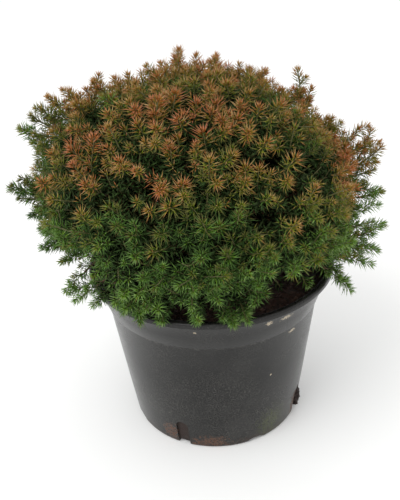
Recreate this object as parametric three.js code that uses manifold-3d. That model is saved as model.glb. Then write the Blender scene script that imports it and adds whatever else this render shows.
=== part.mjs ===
// A dwarf Japanese cedar, a low round bush of dense shoots, in a black plastic nursery pot.
// Millimetres, +Z up. The origin is the centre of the pot's flat underside, and -Y is the front.
// Every limb and mass of foliage is placed from the heart, a point inside the crown above the pot:
// a direction from it is an azimuth (degrees from +X towards +Y) and an elevation.

import * as THREE from 'three';
import { mergeVertices } from 'three/addons/utils/BufferGeometryUtils.js';
import Module from 'manifold-3d';

const wasm = await Module();
wasm.setup();

// Pot
const POT_HEIGHT = 136;
const RIM_RADIUS = 95;
const LIP_ROUND = 2.2;
const LIP_DEPTH = 5;
const LIP_EDGE = 0.7;
const BAND_TOP_RADIUS = 91.6;
const BAND_FOOT_RADIUS = 83.6;
const BAND_DEPTH = 28.8;
const BAND_STEP = 0.9;
const BASE_RADIUS = 69;
const BASE_ROUND = 2;
const POT_WALL = 1.8;
const POT_FLOOR = 2.4;
const POT_SIDES = 40;

// Drain openings in the pot's foot: slots between arches, counted from the front to the right
const DRAIN_COUNT = 4;
const SLOT_ANGLE = -24.5;
const SLOT_WIDTH = 8.5;
const SLOT_HEIGHT = 22;
const ARCH_ANGLE = 24;
const ARCH_WIDTH = 15;
const ARCH_HEIGHT = 3.6;
const DRAIN_INSET = 6;

// Compost
const COMPOST_LEVEL = 124;
const COMPOST_SIDES = 28;
const COMPOST_FLAT_RADIUS = 18;
const COMPOST_RINGS = [0.86, 0.72, 0.55, 0.38];
const COMPOST_ROUGHNESS = 1.6;
const FIT_GAP = 0.35;

// Crown
const HEART = new THREE.Vector3(-8, 0, 172);
const CROWN_CENTRE = new THREE.Vector3(-10, 0, 199);
const CROWN_RADII = new THREE.Vector3(129, 125, 83);
const SKIRT_RISE = 14;
const SKIRT_FULL_ELEVATION = -18;
const SWELLS = [
  { name: 'left shoulder', azimuth: 168, elevation: 35, rise: 11, spread: 13 },
  { name: 'left notch', azimuth: -161, elevation: 7, rise: -15, spread: 11 },
  { name: 'left underside', azimuth: -158, elevation: -16, rise: -8, spread: 11 },
  { name: 'right side', azimuth: -22, elevation: 4, rise: 14, spread: 15 },
  { name: 'right droop', azimuth: -14, elevation: -14, rise: 20, spread: 15 },
  { name: 'right shoulder hollow', azimuth: 6, elevation: 34, rise: -14, spread: 11 },
  { name: 'top tuft', azimuth: 100, elevation: 66, rise: 6, spread: 9 },
];

// Leading shoots that stand out of the rounded outline, each with its tip's distance from the heart
const LEADERS = [
  { name: 'left arm', azimuth: -174, elevation: 16, reach: 139 },
  { name: 'left upper tip', azimuth: 169, elevation: 27, reach: 148 },
  { name: 'left shoulder', azimuth: 156, elevation: 34, reach: 147 },
  { name: 'left top', azimuth: 138, elevation: 40, reach: 138 },
  { name: 'top tip', azimuth: 98, elevation: 61, reach: 127 },
  { name: 'top middle', azimuth: 72, elevation: 59, reach: 122 },
  { name: 'upper right leader', azimuth: 36, elevation: 42, reach: 137 },
  { name: 'right top leader', azimuth: 4, elevation: 23, reach: 142 },
  { name: 'right upper arm', azimuth: -4, elevation: 6, reach: 140 },
  { name: 'right lower arm', azimuth: -13, elevation: -3, reach: 138 },
  { name: 'right low', azimuth: -8, elevation: -14, reach: 138 },
  { name: 'right droop', azimuth: -23, elevation: -18, reach: 128 },
  { name: 'left low', azimuth: -170, elevation: -5, reach: 121 },
  { name: 'left droop', azimuth: -166, elevation: -25, reach: 119 },
  { name: 'front left droop', azimuth: -108, elevation: -16, reach: 114 },
  { name: 'front droop', azimuth: -92, elevation: -17, reach: 115 },
  { name: 'front right droop', azimuth: -74, elevation: -18, reach: 114 },
];

// Masses of foliage, in rings up the crown, each at the end of its own bough
const RINGS = [
  { name: 'lower', count: 10, elevation: -9, start: -96, forkHeight: 143, forkStagger: 8 },
  { name: 'middle', count: 8, elevation: 21, start: -84, forkHeight: 160, forkStagger: 7 },
  { name: 'upper', count: 5, elevation: 54, start: -104, forkHeight: 177, forkStagger: 4 },
];
const MASS_GAP = 0.5;
const MASS_INNER_RADIUS = 64;
const MASS_FLOOR = POT_HEIGHT + 5;
const CORE_GAP = 3;
const CORE_DEPTH = 17;
const CORE_ROUGHNESS = 0.12;
const CORE_MAX_RADIUS = 44;
const CORE_STEP = 0.5;

// Shoots of a mass, and the whorl of needles round a shoot's tip
const SEED = 4117;
const SHOOTS_TRIED = 10;
const SHOOT_SPREAD = 25;
const SHOOT_JITTER = 2;
const SHOOT_SHORTEST = 0.955;
const SHOOT_LOWEST_ELEVATION = -19;
const LEADER_CLEARANCE = 9;
const NEEDLES = 6;
const WHORL_RADIUS = 11;
const WHORL_LENGTH = 13;
const NEEDLE_TIP_BACK = 5;
const NEEDLE_NOTCH_BACK = 9;
const NEEDLE_NOTCH = 0.34;
const TWIG_TIP_RADIUS = 1.2;
const TWIG_ROOT_RADIUS = 1.7;
const TWIG_ROOT_DEPTH = 0.45;
const WHORL_STEP = 11;
const GOLDEN_ANGLE = Math.PI * (3 - Math.sqrt(5));

// Ways to seat a shoot, tried in turn: its lean in to the mass's axis, and the size of its whorl
const SEATS = [
  { leanIn: 0, size: 1 },
  { leanIn: 0.14, size: 1 },
  { leanIn: 0.14, size: 0.8 },
  { leanIn: 0.3, size: 0.8 },
];

// Trunk and boughs
const TRUNK_FOOT = new THREE.Vector3(-3, 1, COMPOST_LEVEL + FIT_GAP);
const TRUNK_TOP_LEAN = new THREE.Vector3(-1.5, 2, 0);
const TRUNK_RADIUS = 7.4;
const TRUNK_TIP_RADIUS = 2;
const TRUNK_FLARE = 5;
const TRUNK_FLARE_HEIGHT = 9;
const TRUNK_SIDES = 10;
const TRUNK_STEPS = 8;
const BOUGH_RADIUS = 2.3;
const BOUGH_TIP_RADIUS = 1.6;
const BOUGH_SIDES = 5;
const BOUGH_STEPS = 4;
const BOUGH_LENGTH = 57;
const BOUGH_BEND = 24;
const LIMB_SIDE = directionAt(72, 4);
const TRUNK_SAMPLES = 400;
const STEM_GAP = 0.3;
const STEM_RADIUS = 1.5;
const STEM_SIDES = 5;

const BARK_COLOUR = '#5b4433';
const POT_COLOUR = '#3a3b3c';
const COMPOST_COLOUR = '#2e1f18';
const FOLIAGE_LOW_COLOUR = '#3f6a2c';
const FOLIAGE_HIGH_COLOUR = '#8a5b38';

// A repeatable stream of numbers from 0 to 1
function randomStream(seed) {
  let state = seed >>> 0;
  return function next() {
    state = (state + 0x6d2b79f5) >>> 0;
    let mixed = Math.imul(state ^ (state >>> 15), 1 | state);
    mixed = (mixed + Math.imul(mixed ^ (mixed >>> 7), 61 | mixed)) ^ mixed;
    return ((mixed ^ (mixed >>> 14)) >>> 0) / 4294967296;
  };
}

function directionAt(azimuth, elevation) {
  const turn = THREE.MathUtils.degToRad(azimuth);
  const rise = THREE.MathUtils.degToRad(elevation);
  return new THREE.Vector3(
    Math.cos(turn) * Math.cos(rise),
    Math.sin(turn) * Math.cos(rise),
    Math.sin(rise),
  );
}

function elevationOf(direction) {
  return THREE.MathUtils.radToDeg(Math.asin(direction.z));
}

function fromHeart(direction, distance) {
  return HEART.clone().addScaledVector(direction, distance);
}

// A closed mesh as a solid, with its shared vertices merged and its slivers of no area left out
function toSolid(geometry) {
  const bare = geometry.clone();
  bare.deleteAttribute('normal');
  bare.deleteAttribute('uv');
  const merged = mergeVertices(bare, 1e-4);
  const triangles = [];
  const index = merged.index.array;
  for (let i = 0; i < index.length; i += 3) {
    const [a, b, c] = [index[i], index[i + 1], index[i + 2]];
    if (a !== b && b !== c && c !== a) {
      triangles.push(a, b, c);
    }
  }
  return new wasm.Manifold(new wasm.Mesh({
    numProp: 3,
    vertProperties: new Float32Array(merged.attributes.position.array),
    triVerts: new Uint32Array(triangles),
  }));
}

function toGeometry(solid) {
  const mesh = solid.getMesh();
  const geometry = new THREE.BufferGeometry();
  geometry.setAttribute('position', new THREE.BufferAttribute(mesh.vertProperties, 3));
  geometry.setIndex(new THREE.BufferAttribute(mesh.triVerts, 1));
  const faceted = geometry.toNonIndexed();
  faceted.computeVertexNormals();
  return faceted;
}

function namedMesh(name, geometry, colour, roughness) {
  const material = new THREE.MeshStandardMaterial({ color: colour, roughness, metalness: 0 });
  const mesh = new THREE.Mesh(geometry, material);
  mesh.name = name;
  return mesh;
}

// A profile of [radius, height] points turned round the upright axis
function turned(profile, sides) {
  const points = profile.map(([radius, height]) => new THREE.Vector2(radius, height));
  return new THREE.LatheGeometry(points, sides).rotateX(Math.PI / 2);
}

function arc(centreRadius, centreHeight, radius, fromDegrees, toDegrees, steps) {
  const points = [];
  for (let i = 0; i <= steps; i += 1) {
    const angle = THREE.MathUtils.degToRad(fromDegrees + ((toDegrees - fromDegrees) * i) / steps);
    points.push([centreRadius + radius * Math.cos(angle), centreHeight + radius * Math.sin(angle)]);
  }
  return points;
}

// A round limb bent along a curve, with its radius a function of how far along it is
function limb(curve, radiusAt, sides, steps) {
  const geometry = new THREE.CylinderGeometry(1, 1, 1, sides, steps);
  const position = geometry.attributes.position;
  for (let i = 0; i < position.count; i += 1) {
    const along = position.getY(i) + 0.5;
    const tangent = curve.getTangentAt(along);
    const side = new THREE.Vector3().crossVectors(tangent, LIMB_SIDE).normalize();
    const other = new THREE.Vector3().crossVectors(side, tangent);
    const radius = radiusAt(along);
    const point = curve.getPointAt(along);
    point.addScaledVector(side, position.getX(i) * radius);
    point.addScaledVector(other, position.getZ(i) * radius);
    position.setXYZ(i, point.x, point.y, point.z);
  }
  return geometry;
}

// The pot: a tapering wall, a wider band below a rolled lip, and a flat floor
const BAND_FOOT = POT_HEIGHT - BAND_DEPTH;
const LIP_FOOT = POT_HEIGHT - LIP_DEPTH;
const WALL_TOP_RADIUS = BAND_FOOT_RADIUS - BAND_STEP;

function potWallRadius(height) {
  return BASE_RADIUS + ((WALL_TOP_RADIUS - BASE_RADIUS) * height) / BAND_FOOT;
}

function bandRadius(height) {
  const share = (height - BAND_FOOT) / (LIP_FOOT - BAND_FOOT);
  return BAND_FOOT_RADIUS + (BAND_TOP_RADIUS - BAND_FOOT_RADIUS) * share;
}

function innerRadius(height) {
  return (height < BAND_FOOT ? potWallRadius(height) : bandRadius(Math.min(height, LIP_FOOT))) - POT_WALL;
}

function potShell() {
  const mouth = bandRadius(LIP_FOOT) - POT_WALL;
  const profile = [
    [0, 0],
    ...arc(BASE_RADIUS - BASE_ROUND, BASE_ROUND, BASE_ROUND, -90, 0, 2),
    [WALL_TOP_RADIUS, BAND_FOOT - BAND_STEP / 2],
    [BAND_FOOT_RADIUS, BAND_FOOT],
    [BAND_TOP_RADIUS, LIP_FOOT],
    [RIM_RADIUS - LIP_EDGE, LIP_FOOT],
    [RIM_RADIUS, LIP_FOOT + LIP_EDGE],
    ...arc(RIM_RADIUS - LIP_ROUND, POT_HEIGHT - LIP_ROUND, LIP_ROUND, 0, 90, 2),
    ...arc(mouth + LIP_ROUND, POT_HEIGHT - LIP_ROUND, LIP_ROUND, 90, 180, 1),
    [mouth, LIP_FOOT],
    [innerRadius(BAND_FOOT), BAND_FOOT],
    [innerRadius(POT_FLOOR), POT_FLOOR],
    [0, POT_FLOOR],
  ];
  return toSolid(turned(profile, POT_SIDES));
}

// A cutter with a round-topped outline, pushed through the pot's foot at an angle from the front
function drainCutter(width, height, crownHeight, angle) {
  const outline = new THREE.Shape();
  const below = 1;
  outline.moveTo(-width / 2, -below);
  outline.lineTo(width / 2, -below);
  outline.lineTo(width / 2, height - crownHeight);
  outline.absellipse(0, height - crownHeight, width / 2, crownHeight, 0, Math.PI, false);
  const depth = 2 * DRAIN_INSET;
  const geometry = new THREE.ExtrudeGeometry(outline, { depth, bevelEnabled: false, curveSegments: 4 });
  geometry.rotateX(Math.PI / 2);
  geometry.translate(0, depth - (BASE_RADIUS + DRAIN_INSET), 0);
  geometry.rotateZ(THREE.MathUtils.degToRad(angle));
  return toSolid(geometry);
}

function makePot() {
  let pot = potShell();
  for (let i = 0; i < DRAIN_COUNT; i += 1) {
    const turn = (360 / DRAIN_COUNT) * i;
    pot = pot.subtract(drainCutter(SLOT_WIDTH, SLOT_HEIGHT, SLOT_WIDTH / 2, SLOT_ANGLE + turn));
    pot = pot.subtract(drainCutter(ARCH_WIDTH, ARCH_HEIGHT, ARCH_HEIGHT, ARCH_ANGLE + turn));
  }
  return namedMesh('pot', toGeometry(pot), POT_COLOUR, 0.45);
}

// Compost fills the pot to below its lip, flat round the stem and rough elsewhere
function makeCompost() {
  const random = randomStream(SEED);
  const shrink = Math.cos(Math.PI / POT_SIDES);
  const foot = POT_FLOOR + FIT_GAP;
  const inside = (height) => innerRadius(height) * shrink - FIT_GAP;
  const edge = inside(COMPOST_LEVEL);
  const profile = [
    [0, foot],
    [inside(foot), foot],
    [inside(BAND_FOOT - FIT_GAP), BAND_FOOT - FIT_GAP],
    [edge, COMPOST_LEVEL],
    ...COMPOST_RINGS.map((share) => [edge * share, COMPOST_LEVEL]),
    [COMPOST_FLAT_RADIUS, COMPOST_LEVEL],
    [0, COMPOST_LEVEL],
  ];
  const geometry = mergeVertices(turned(profile, COMPOST_SIDES).deleteAttribute('normal').deleteAttribute('uv'));
  const position = geometry.attributes.position;
  for (let i = 0; i < position.count; i += 1) {
    const radius = Math.hypot(position.getX(i), position.getY(i));
    const onSurface = Math.abs(position.getZ(i) - COMPOST_LEVEL) < FIT_GAP;
    if (onSurface && radius > COMPOST_FLAT_RADIUS + FIT_GAP && radius < edge - FIT_GAP) {
      position.setZ(i, COMPOST_LEVEL + COMPOST_ROUGHNESS * (2 * random() - 1));
    }
  }
  return namedMesh('compost', toGeometry(toSolid(geometry)), COMPOST_COLOUR, 0.95);
}

// How far the crown's rounded outline lies from the heart: an egg-shaped dome with a skirt that
// spreads over the rim, and the swells and hollows that give the crown its uneven outline
function crownReach(direction) {
  const start = HEART.clone().sub(CROWN_CENTRE).divide(CROWN_RADII);
  const step = direction.clone().divide(CROWN_RADII);
  const a = step.dot(step);
  const b = 2 * start.dot(step);
  const c = start.dot(start) - 1;
  let reach = (-b + Math.sqrt(b * b - 4 * a * c)) / (2 * a);
  reach += SKIRT_RISE * THREE.MathUtils.smoothstep(-elevationOf(direction), 0, -SKIRT_FULL_ELEVATION);
  for (const swell of SWELLS) {
    const away = directionAt(swell.azimuth, swell.elevation).angleTo(direction);
    const share = THREE.MathUtils.radToDeg(away) / swell.spread;
    reach += swell.rise * Math.exp(-share * share);
  }
  return reach;
}

function massList() {
  const masses = [{ name: 'top', axis: directionAt(0, 90), fork: null }];
  for (const ring of RINGS) {
    for (let i = 0; i < ring.count; i += 1) {
      const axis = directionAt(ring.start + (360 / ring.count) * i, ring.elevation);
      const fork = ring.forkHeight + (i % 2) * ring.forkStagger;
      masses.push({ name: `${ring.name}_${i + 1}`, axis, fork });
    }
  }
  return masses;
}

const MASSES = massList();

// How far a point lies inside a mass's own space, the cone of directions nearest to its axis
function roomAt(point, mass) {
  const arm = point.clone().sub(HEART);
  let room = Infinity;
  for (const other of MASSES) {
    if (other !== mass) {
      const across = mass.axis.clone().sub(other.axis);
      room = Math.min(room, arm.dot(across) / across.length());
    }
  }
  return room;
}

// A ring of points round an axis, counted anticlockwise seen from the axis's tip
function ringPoints(centre, axis, radii, phase) {
  const level = Math.abs(axis.z) > 0.9 ? new THREE.Vector3(1, 0, 0) : new THREE.Vector3(0, 0, 1);
  const side = new THREE.Vector3().crossVectors(level, axis).normalize();
  const other = new THREE.Vector3().crossVectors(axis, side);
  return radii.map((radius, i) => {
    const angle = phase + (2 * Math.PI * i) / radii.length;
    return centre.clone()
      .addScaledVector(side, radius * Math.cos(angle))
      .addScaledVector(other, radius * Math.sin(angle));
  });
}

// A whorl: a tooth for each needle, leaning towards the tip, with notches between them
function whorlPoints(tip, axis, radius, phase) {
  const spread = [];
  for (let i = 0; i < 2 * NEEDLES; i += 1) {
    spread.push(i % 2 === 0 ? radius : radius * NEEDLE_NOTCH);
  }
  return ringPoints(tip, axis, spread, phase).map((point, i) => (
    point.addScaledVector(axis, i % 2 === 0 ? -NEEDLE_TIP_BACK : -NEEDLE_NOTCH_BACK)
  ));
}

// A shoot: a three-sided twig that opens into a whorl of needles with a pointed tip
function shootGeometry(root, tip, radius, phase) {
  const axis = tip.clone().sub(root).normalize();
  const neckCentre = tip.clone().addScaledVector(axis, -WHORL_LENGTH);
  const turn = phase + Math.PI / 3;
  const foot = ringPoints(root, axis, Array(3).fill(TWIG_ROOT_RADIUS), turn);
  const neck = ringPoints(neckCentre, axis, Array(3).fill(TWIG_TIP_RADIUS), turn);
  const whorl = whorlPoints(tip, axis, radius, phase);
  const points = [...foot, ...neck, ...whorl, tip];
  const star = 6;
  const apex = points.length - 1;
  const perSide = (2 * NEEDLES) / 3;
  const faces = [0, 2, 1];
  for (let k = 0; k < 3; k += 1) {
    const next = (k + 1) % 3;
    faces.push(k, next, 3 + next, k, 3 + next, 3 + k);
    faces.push(3 + k, 3 + next, star + ((perSide * (k + 1)) % whorl.length));
  }
  for (let j = 0; j < whorl.length; j += 1) {
    const next = star + ((j + 1) % whorl.length);
    faces.push(3 + Math.floor(j / perSide), next, star + j);
    faces.push(apex, star + j, next);
  }
  const geometry = new THREE.BufferGeometry().setFromPoints(points);
  geometry.setIndex(faces);
  return geometry;
}

// An extra whorl part way down a leading shoot
function whorlGeometry(tip, axis, radius, phase) {
  const whorl = whorlPoints(tip, axis, radius, phase);
  const points = [...whorl, tip, tip.clone().addScaledVector(axis, -WHORL_LENGTH)];
  const faces = [];
  for (let j = 0; j < whorl.length; j += 1) {
    const next = (j + 1) % whorl.length;
    faces.push(whorl.length, j, next, whorl.length + 1, next, j);
  }
  const geometry = new THREE.BufferGeometry().setFromPoints(points);
  geometry.setIndex(faces);
  return geometry;
}

function hasRoom(geometry, mass) {
  const position = geometry.attributes.position;
  const point = new THREE.Vector3();
  for (let i = 0; i < position.count; i += 1) {
    point.fromBufferAttribute(position, i);
    const tooNear = point.distanceTo(HEART) < MASS_INNER_RADIUS;
    if (tooNear || roomAt(point, mass) < MASS_GAP / 2) {
      return false;
    }
  }
  return true;
}

// Pot and compost with a little air round them, which no foliage may enter
function keptClear() {
  const air = 1.2;
  const profile = [
    [0, POT_FLOOR],
    [BASE_RADIUS + air, POT_FLOOR],
    [BAND_FOOT_RADIUS + air, BAND_FOOT],
    [RIM_RADIUS + air, LIP_FOOT - air],
    [RIM_RADIUS + air, POT_HEIGHT + air],
    [BAND_TOP_RADIUS - POT_WALL - air, POT_HEIGHT + air],
    [BAND_TOP_RADIUS - POT_WALL - air, COMPOST_LEVEL + COMPOST_ROUGHNESS + air],
    [0, COMPOST_LEVEL + COMPOST_ROUGHNESS + air],
  ];
  return toSolid(turned(profile, POT_SIDES));
}

const KEPT_CLEAR = keptClear();

// The dense middle of a mass, as far out as its space and the crown's outline let it
function coreSolid(mass, random) {
  const outerAt = (direction) => crownReach(direction) - CORE_DEPTH;
  const middle = fromHeart(mass.axis, (MASS_INNER_RADIUS + outerAt(mass.axis)) / 2);
  const geometry = mergeVertices(
    new THREE.IcosahedronGeometry(1, 1).deleteAttribute('normal').deleteAttribute('uv'),
    1e-4,
  );
  const position = geometry.attributes.position;
  const ray = new THREE.Vector3();
  for (let i = 0; i < position.count; i += 1) {
    ray.fromBufferAttribute(position, i).normalize();
    let reach = 0;
    for (let tried = CORE_STEP; tried <= CORE_MAX_RADIUS; tried += CORE_STEP) {
      const point = middle.clone().addScaledVector(ray, tried);
      const arm = point.clone().sub(HEART);
      const distance = arm.length();
      const outside = distance > outerAt(arm.normalize()) || distance < MASS_INNER_RADIUS;
      if (outside || point.z < MASS_FLOOR || roomAt(point, mass) < CORE_GAP / 2) {
        break;
      }
      reach = tried;
    }
    reach *= 1 - CORE_ROUGHNESS * random();
    const point = middle.clone().addScaledVector(ray, reach);
    position.setXYZ(i, point.x, point.y, point.z);
  }
  return toSolid(geometry);
}

// The shoots of a mass: its leading shoots, then a spiral of shoots round its axis
function shootList(mass, random) {
  const isNearest = (direction) => MASSES.every((other) => (
    other.axis.dot(direction) <= mass.axis.dot(direction)
  ));
  const shoots = [];
  for (const leader of LEADERS) {
    const direction = directionAt(leader.azimuth, leader.elevation);
    if (isNearest(direction)) {
      shoots.push({ direction, reach: leader.reach, leads: true });
    }
  }
  const leaders = shoots.slice();
  const [side, other] = ringPoints(new THREE.Vector3(), mass.axis, [1, 1, 1, 1], 0);
  const phase = 2 * Math.PI * random();
  for (let k = 0; k < SHOOTS_TRIED; k += 1) {
    const lean = SHOOT_SPREAD * Math.sqrt((k + 0.5) / SHOOTS_TRIED) + SHOOT_JITTER * (random() - 0.5);
    const turn = phase + k * GOLDEN_ANGLE;
    const shorter = 1 - (1 - SHOOT_SHORTEST) * random();
    const tilt = Math.tan(THREE.MathUtils.degToRad(lean));
    const direction = mass.axis.clone()
      .addScaledVector(side, tilt * Math.cos(turn))
      .addScaledVector(other, tilt * Math.sin(turn))
      .normalize();
    const byLeader = leaders.some((leader) => (
      THREE.MathUtils.radToDeg(leader.direction.angleTo(direction)) < LEADER_CLEARANCE
    ));
    if (!byLeader && elevationOf(direction) > SHOOT_LOWEST_ELEVATION) {
      shoots.push({ direction, reach: crownReach(direction) * shorter, leads: false });
    }
  }
  return shoots;
}

// The pieces of a shoot at the first seat where they keep to the mass's space, or none
function seatedShoot(mass, shoot, phase) {
  const fits = (geometry) => hasRoom(geometry, mass) && KEPT_CLEAR.intersect(toSolid(geometry)).isEmpty();
  for (const seat of SEATS) {
    const tip = fromHeart(shoot.direction.clone().lerp(mass.axis, seat.leanIn).normalize(), shoot.reach);
    const root = fromHeart(mass.axis, MASS_INNER_RADIUS).lerp(tip, TWIG_ROOT_DEPTH);
    const axis = tip.clone().sub(root).normalize();
    const radius = WHORL_RADIUS * seat.size;
    const shootPiece = shootGeometry(root, tip, radius, phase);
    if (fits(shootPiece)) {
      const lower = tip.clone().addScaledVector(axis, -WHORL_STEP);
      const lowerWhorl = whorlGeometry(lower, axis, radius, phase + Math.PI / NEEDLES);
      return shoot.leads && fits(lowerWhorl) ? [shootPiece, lowerWhorl] : [shootPiece];
    }
  }
  return [];
}

// A mass of foliage: a stem, a core, and shoots that branch from the stem and stand out of the core
function makeMass(mass, index) {
  const random = randomStream(SEED + 31 * (index + 1));
  const stemFoot = fromHeart(mass.axis, BOUGH_LENGTH + STEM_GAP);
  const stemTop = fromHeart(mass.axis, MASS_INNER_RADIUS + CORE_MAX_RADIUS / 2);
  const stemLine = new THREE.LineCurve3(stemFoot, stemTop);
  let solid = toSolid(limb(stemLine, () => STEM_RADIUS, STEM_SIDES, 1)).add(coreSolid(mass, random));
  for (const shoot of shootList(mass, random)) {
    for (const piece of seatedShoot(mass, shoot, 2 * Math.PI * random())) {
      solid = solid.add(toSolid(piece));
    }
  }
  const height = THREE.MathUtils.clamp(mass.axis.z, 0, 1);
  const colour = new THREE.Color(FOLIAGE_LOW_COLOUR).lerp(new THREE.Color(FOLIAGE_HIGH_COLOUR), height);
  return namedMesh(`foliage_${mass.name}`, toGeometry(solid), colour, 0.7);
}

// The trunk leans a little, from a flared foot on the compost to its tip under the top mass
const TRUNK_TIP = fromHeart(directionAt(0, 90), BOUGH_LENGTH);
const TRUNK_LINE = new THREE.QuadraticBezierCurve3(
  TRUNK_FOOT,
  HEART.clone().add(TRUNK_TOP_LEAN),
  TRUNK_TIP,
);

function trunkRadius(along) {
  const rise = along * TRUNK_LINE.getLength();
  const taper = THREE.MathUtils.lerp(TRUNK_RADIUS, TRUNK_TIP_RADIUS, along);
  return taper + TRUNK_FLARE * Math.exp(-rise / TRUNK_FLARE_HEIGHT);
}

function trunkPointAtHeight(height) {
  return TRUNK_LINE.getSpacedPoints(TRUNK_SAMPLES).find((point) => point.z >= height);
}

function levelledFoot(geometry) {
  const position = geometry.attributes.position;
  for (let i = 0; i < position.count; i += 1) {
    if (position.getZ(i) < TRUNK_FOOT.z + TRUNK_FLARE) {
      position.setZ(i, TRUNK_FOOT.z);
    }
  }
  return geometry;
}

function makeTrunk() {
  const geometry = levelledFoot(limb(TRUNK_LINE, trunkRadius, TRUNK_SIDES, TRUNK_STEPS));
  return namedMesh('trunk', toGeometry(toSolid(geometry)), BARK_COLOUR, 0.85);
}

// A bough leaves the trunk, bends towards its mass and ends at the mass's stem
function makeBough(mass, trunkSpace) {
  const start = trunkPointAtHeight(mass.fork);
  const end = fromHeart(mass.axis, BOUGH_LENGTH);
  const bend = fromHeart(mass.axis, BOUGH_LENGTH - BOUGH_BEND);
  const line = new THREE.QuadraticBezierCurve3(start, bend, end);
  const radiusAt = (along) => THREE.MathUtils.lerp(BOUGH_RADIUS, BOUGH_TIP_RADIUS, along);
  const solid = toSolid(limb(line, radiusAt, BOUGH_SIDES, BOUGH_STEPS)).subtract(trunkSpace);
  return namedMesh(`bough_${mass.name}`, toGeometry(solid), BARK_COLOUR, 0.85);
}

function makePlant() {
  const plant = new THREE.Group();
  plant.add(makePot(), makeCompost(), makeTrunk());
  const trunkSpace = toSolid(limb(
    TRUNK_LINE,
    (along) => trunkRadius(along) + FIT_GAP,
    TRUNK_SIDES,
    TRUNK_STEPS,
  ));
  MASSES.forEach((mass, index) => {
    if (mass.fork !== null) {
      plant.add(makeBough(mass, trunkSpace));
    }
    plant.add(makeMass(mass, index));
  });
  return plant;
}

export default makePlant();
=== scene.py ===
import math
import bpy
import numpy as np
from mathutils import Matrix, Vector


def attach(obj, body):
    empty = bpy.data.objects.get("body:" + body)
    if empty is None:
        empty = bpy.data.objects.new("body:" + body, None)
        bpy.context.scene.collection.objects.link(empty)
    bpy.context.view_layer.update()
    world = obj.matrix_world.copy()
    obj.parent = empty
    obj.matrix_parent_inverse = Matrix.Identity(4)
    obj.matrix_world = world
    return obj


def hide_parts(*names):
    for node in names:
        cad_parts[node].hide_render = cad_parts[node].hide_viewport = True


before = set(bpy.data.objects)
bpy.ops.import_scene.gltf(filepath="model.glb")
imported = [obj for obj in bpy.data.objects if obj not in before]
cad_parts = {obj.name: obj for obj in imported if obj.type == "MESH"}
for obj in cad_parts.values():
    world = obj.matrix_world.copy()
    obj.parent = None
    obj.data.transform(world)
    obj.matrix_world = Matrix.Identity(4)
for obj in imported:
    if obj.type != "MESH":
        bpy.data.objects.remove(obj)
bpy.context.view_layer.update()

# The viewpoint: a camera half a metre off, a little above the plant and looking down on it,
# turned slightly in the hand. Its picture is 400 by 500 dots.
PICTURE_HEIGHT = 500
FOCAL_DOTS = 700
CAMERA_AWAY = 0.545
CAMERA_DOWN = math.radians(28.95)
CAMERA_ROLL = math.radians(-3.1)
CAMERA_AIM = Vector((-0.0082, 0, 0.1405))
SENSOR = 36


def put_in(name, data):
    """An object in the scene, from its mesh, camera or lamp."""
    made = bpy.data.objects.new(name, data)
    bpy.context.scene.collection.objects.link(made)
    return made


ahead = Vector((0, math.cos(CAMERA_DOWN), -math.sin(CAMERA_DOWN)))
level = Vector((1, 0, 0))
upright = level.cross(ahead)
across = level * math.cos(CAMERA_ROLL) + upright * math.sin(CAMERA_ROLL)
upward = -level * math.sin(CAMERA_ROLL) + upright * math.cos(CAMERA_ROLL)
camera_data = bpy.data.cameras.new("camera")
camera_data.sensor_width = SENSOR
camera_data.lens = FOCAL_DOTS * SENSOR / PICTURE_HEIGHT
camera_data.clip_start = 0.02
camera_data.clip_end = 50
camera = put_in("camera", camera_data)
turn = Matrix((across, upward, -ahead)).transposed().to_4x4()
camera.matrix_world = Matrix.Translation(CAMERA_AIM - ahead * CAMERA_AWAY) @ turn
bpy.context.scene.camera = camera


# The pot: a round nursery pot, injection-moulded in thin charcoal plastic. A tapering wall
# steps out to a wider band, and a rolled lip stiffens the mouth. The foot has drain slots
# up the wall and low arches between them. Its lengths are in millimetres.
MM = 0.001
POT_HEIGHT = 136
RIM_RADIUS = 95
LIP_ROUND = 2.2
LIP_DEPTH = 5
LIP_EDGE = 0.7
BAND_TOP_RADIUS = 91.6
BAND_FOOT_RADIUS = 83.6
BAND_DEPTH = 28.8
BAND_STEP = 0.9
BASE_RADIUS = 69
BASE_ROUND = 2
POT_WALL = 1.8
POT_FLOOR = 2.4
UNDERSIDE_RADIUS = 58
UNDERSIDE_RECESS = 0.8
EDGE_EASE = 0.35
POT_SIDES = 160
DRAINS = 4
SLOT_ANGLE = -24.5
SLOT_WIDTH = 10
SLOT_HEIGHT = 25
ARCH_ANGLE = 24
ARCH_WIDTH = 15
ARCH_HEIGHT = 3.6
DRAIN_REACH = 6
BAND_FOOT = POT_HEIGHT - BAND_DEPTH
LIP_FOOT = POT_HEIGHT - LIP_DEPTH


def wall_radius(height):
    """Outer radius of the pot's wall or band at a height."""
    if height < BAND_FOOT:
        top = BAND_FOOT_RADIUS - BAND_STEP
        return BASE_RADIUS + (top - BASE_RADIUS) * height / BAND_FOOT
    share = (min(height, LIP_FOOT) - BAND_FOOT) / (LIP_FOOT - BAND_FOOT)
    return BAND_FOOT_RADIUS + (BAND_TOP_RADIUS - BAND_FOOT_RADIUS) * share


def arc(radius_at, height_at, radius, start, stop, steps):
    """Points of a round corner, as radius and height."""
    angles = np.radians(np.linspace(start, stop, steps + 1))
    return [(radius_at + radius * math.cos(a), height_at + radius * math.sin(a)) for a in angles]


def eased(profile, ease):
    """The profile with its sharp corners slightly rounded."""
    points = [Vector(p) for p in profile]
    out = [points[0]]
    for before, here, after in zip(points, points[1:], points[2:]):
        back, on = before - here, after - here
        if back.angle(on) > math.radians(155):
            out.append(here)
            continue
        a = here + back.normalized() * min(ease, 0.4 * back.length)
        b = here + on.normalized() * min(ease, 0.4 * on.length)
        out += [a, (a + b + 2 * here) / 4, b]
    return [tuple(p) for p in out + [points[-1]]]


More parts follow.
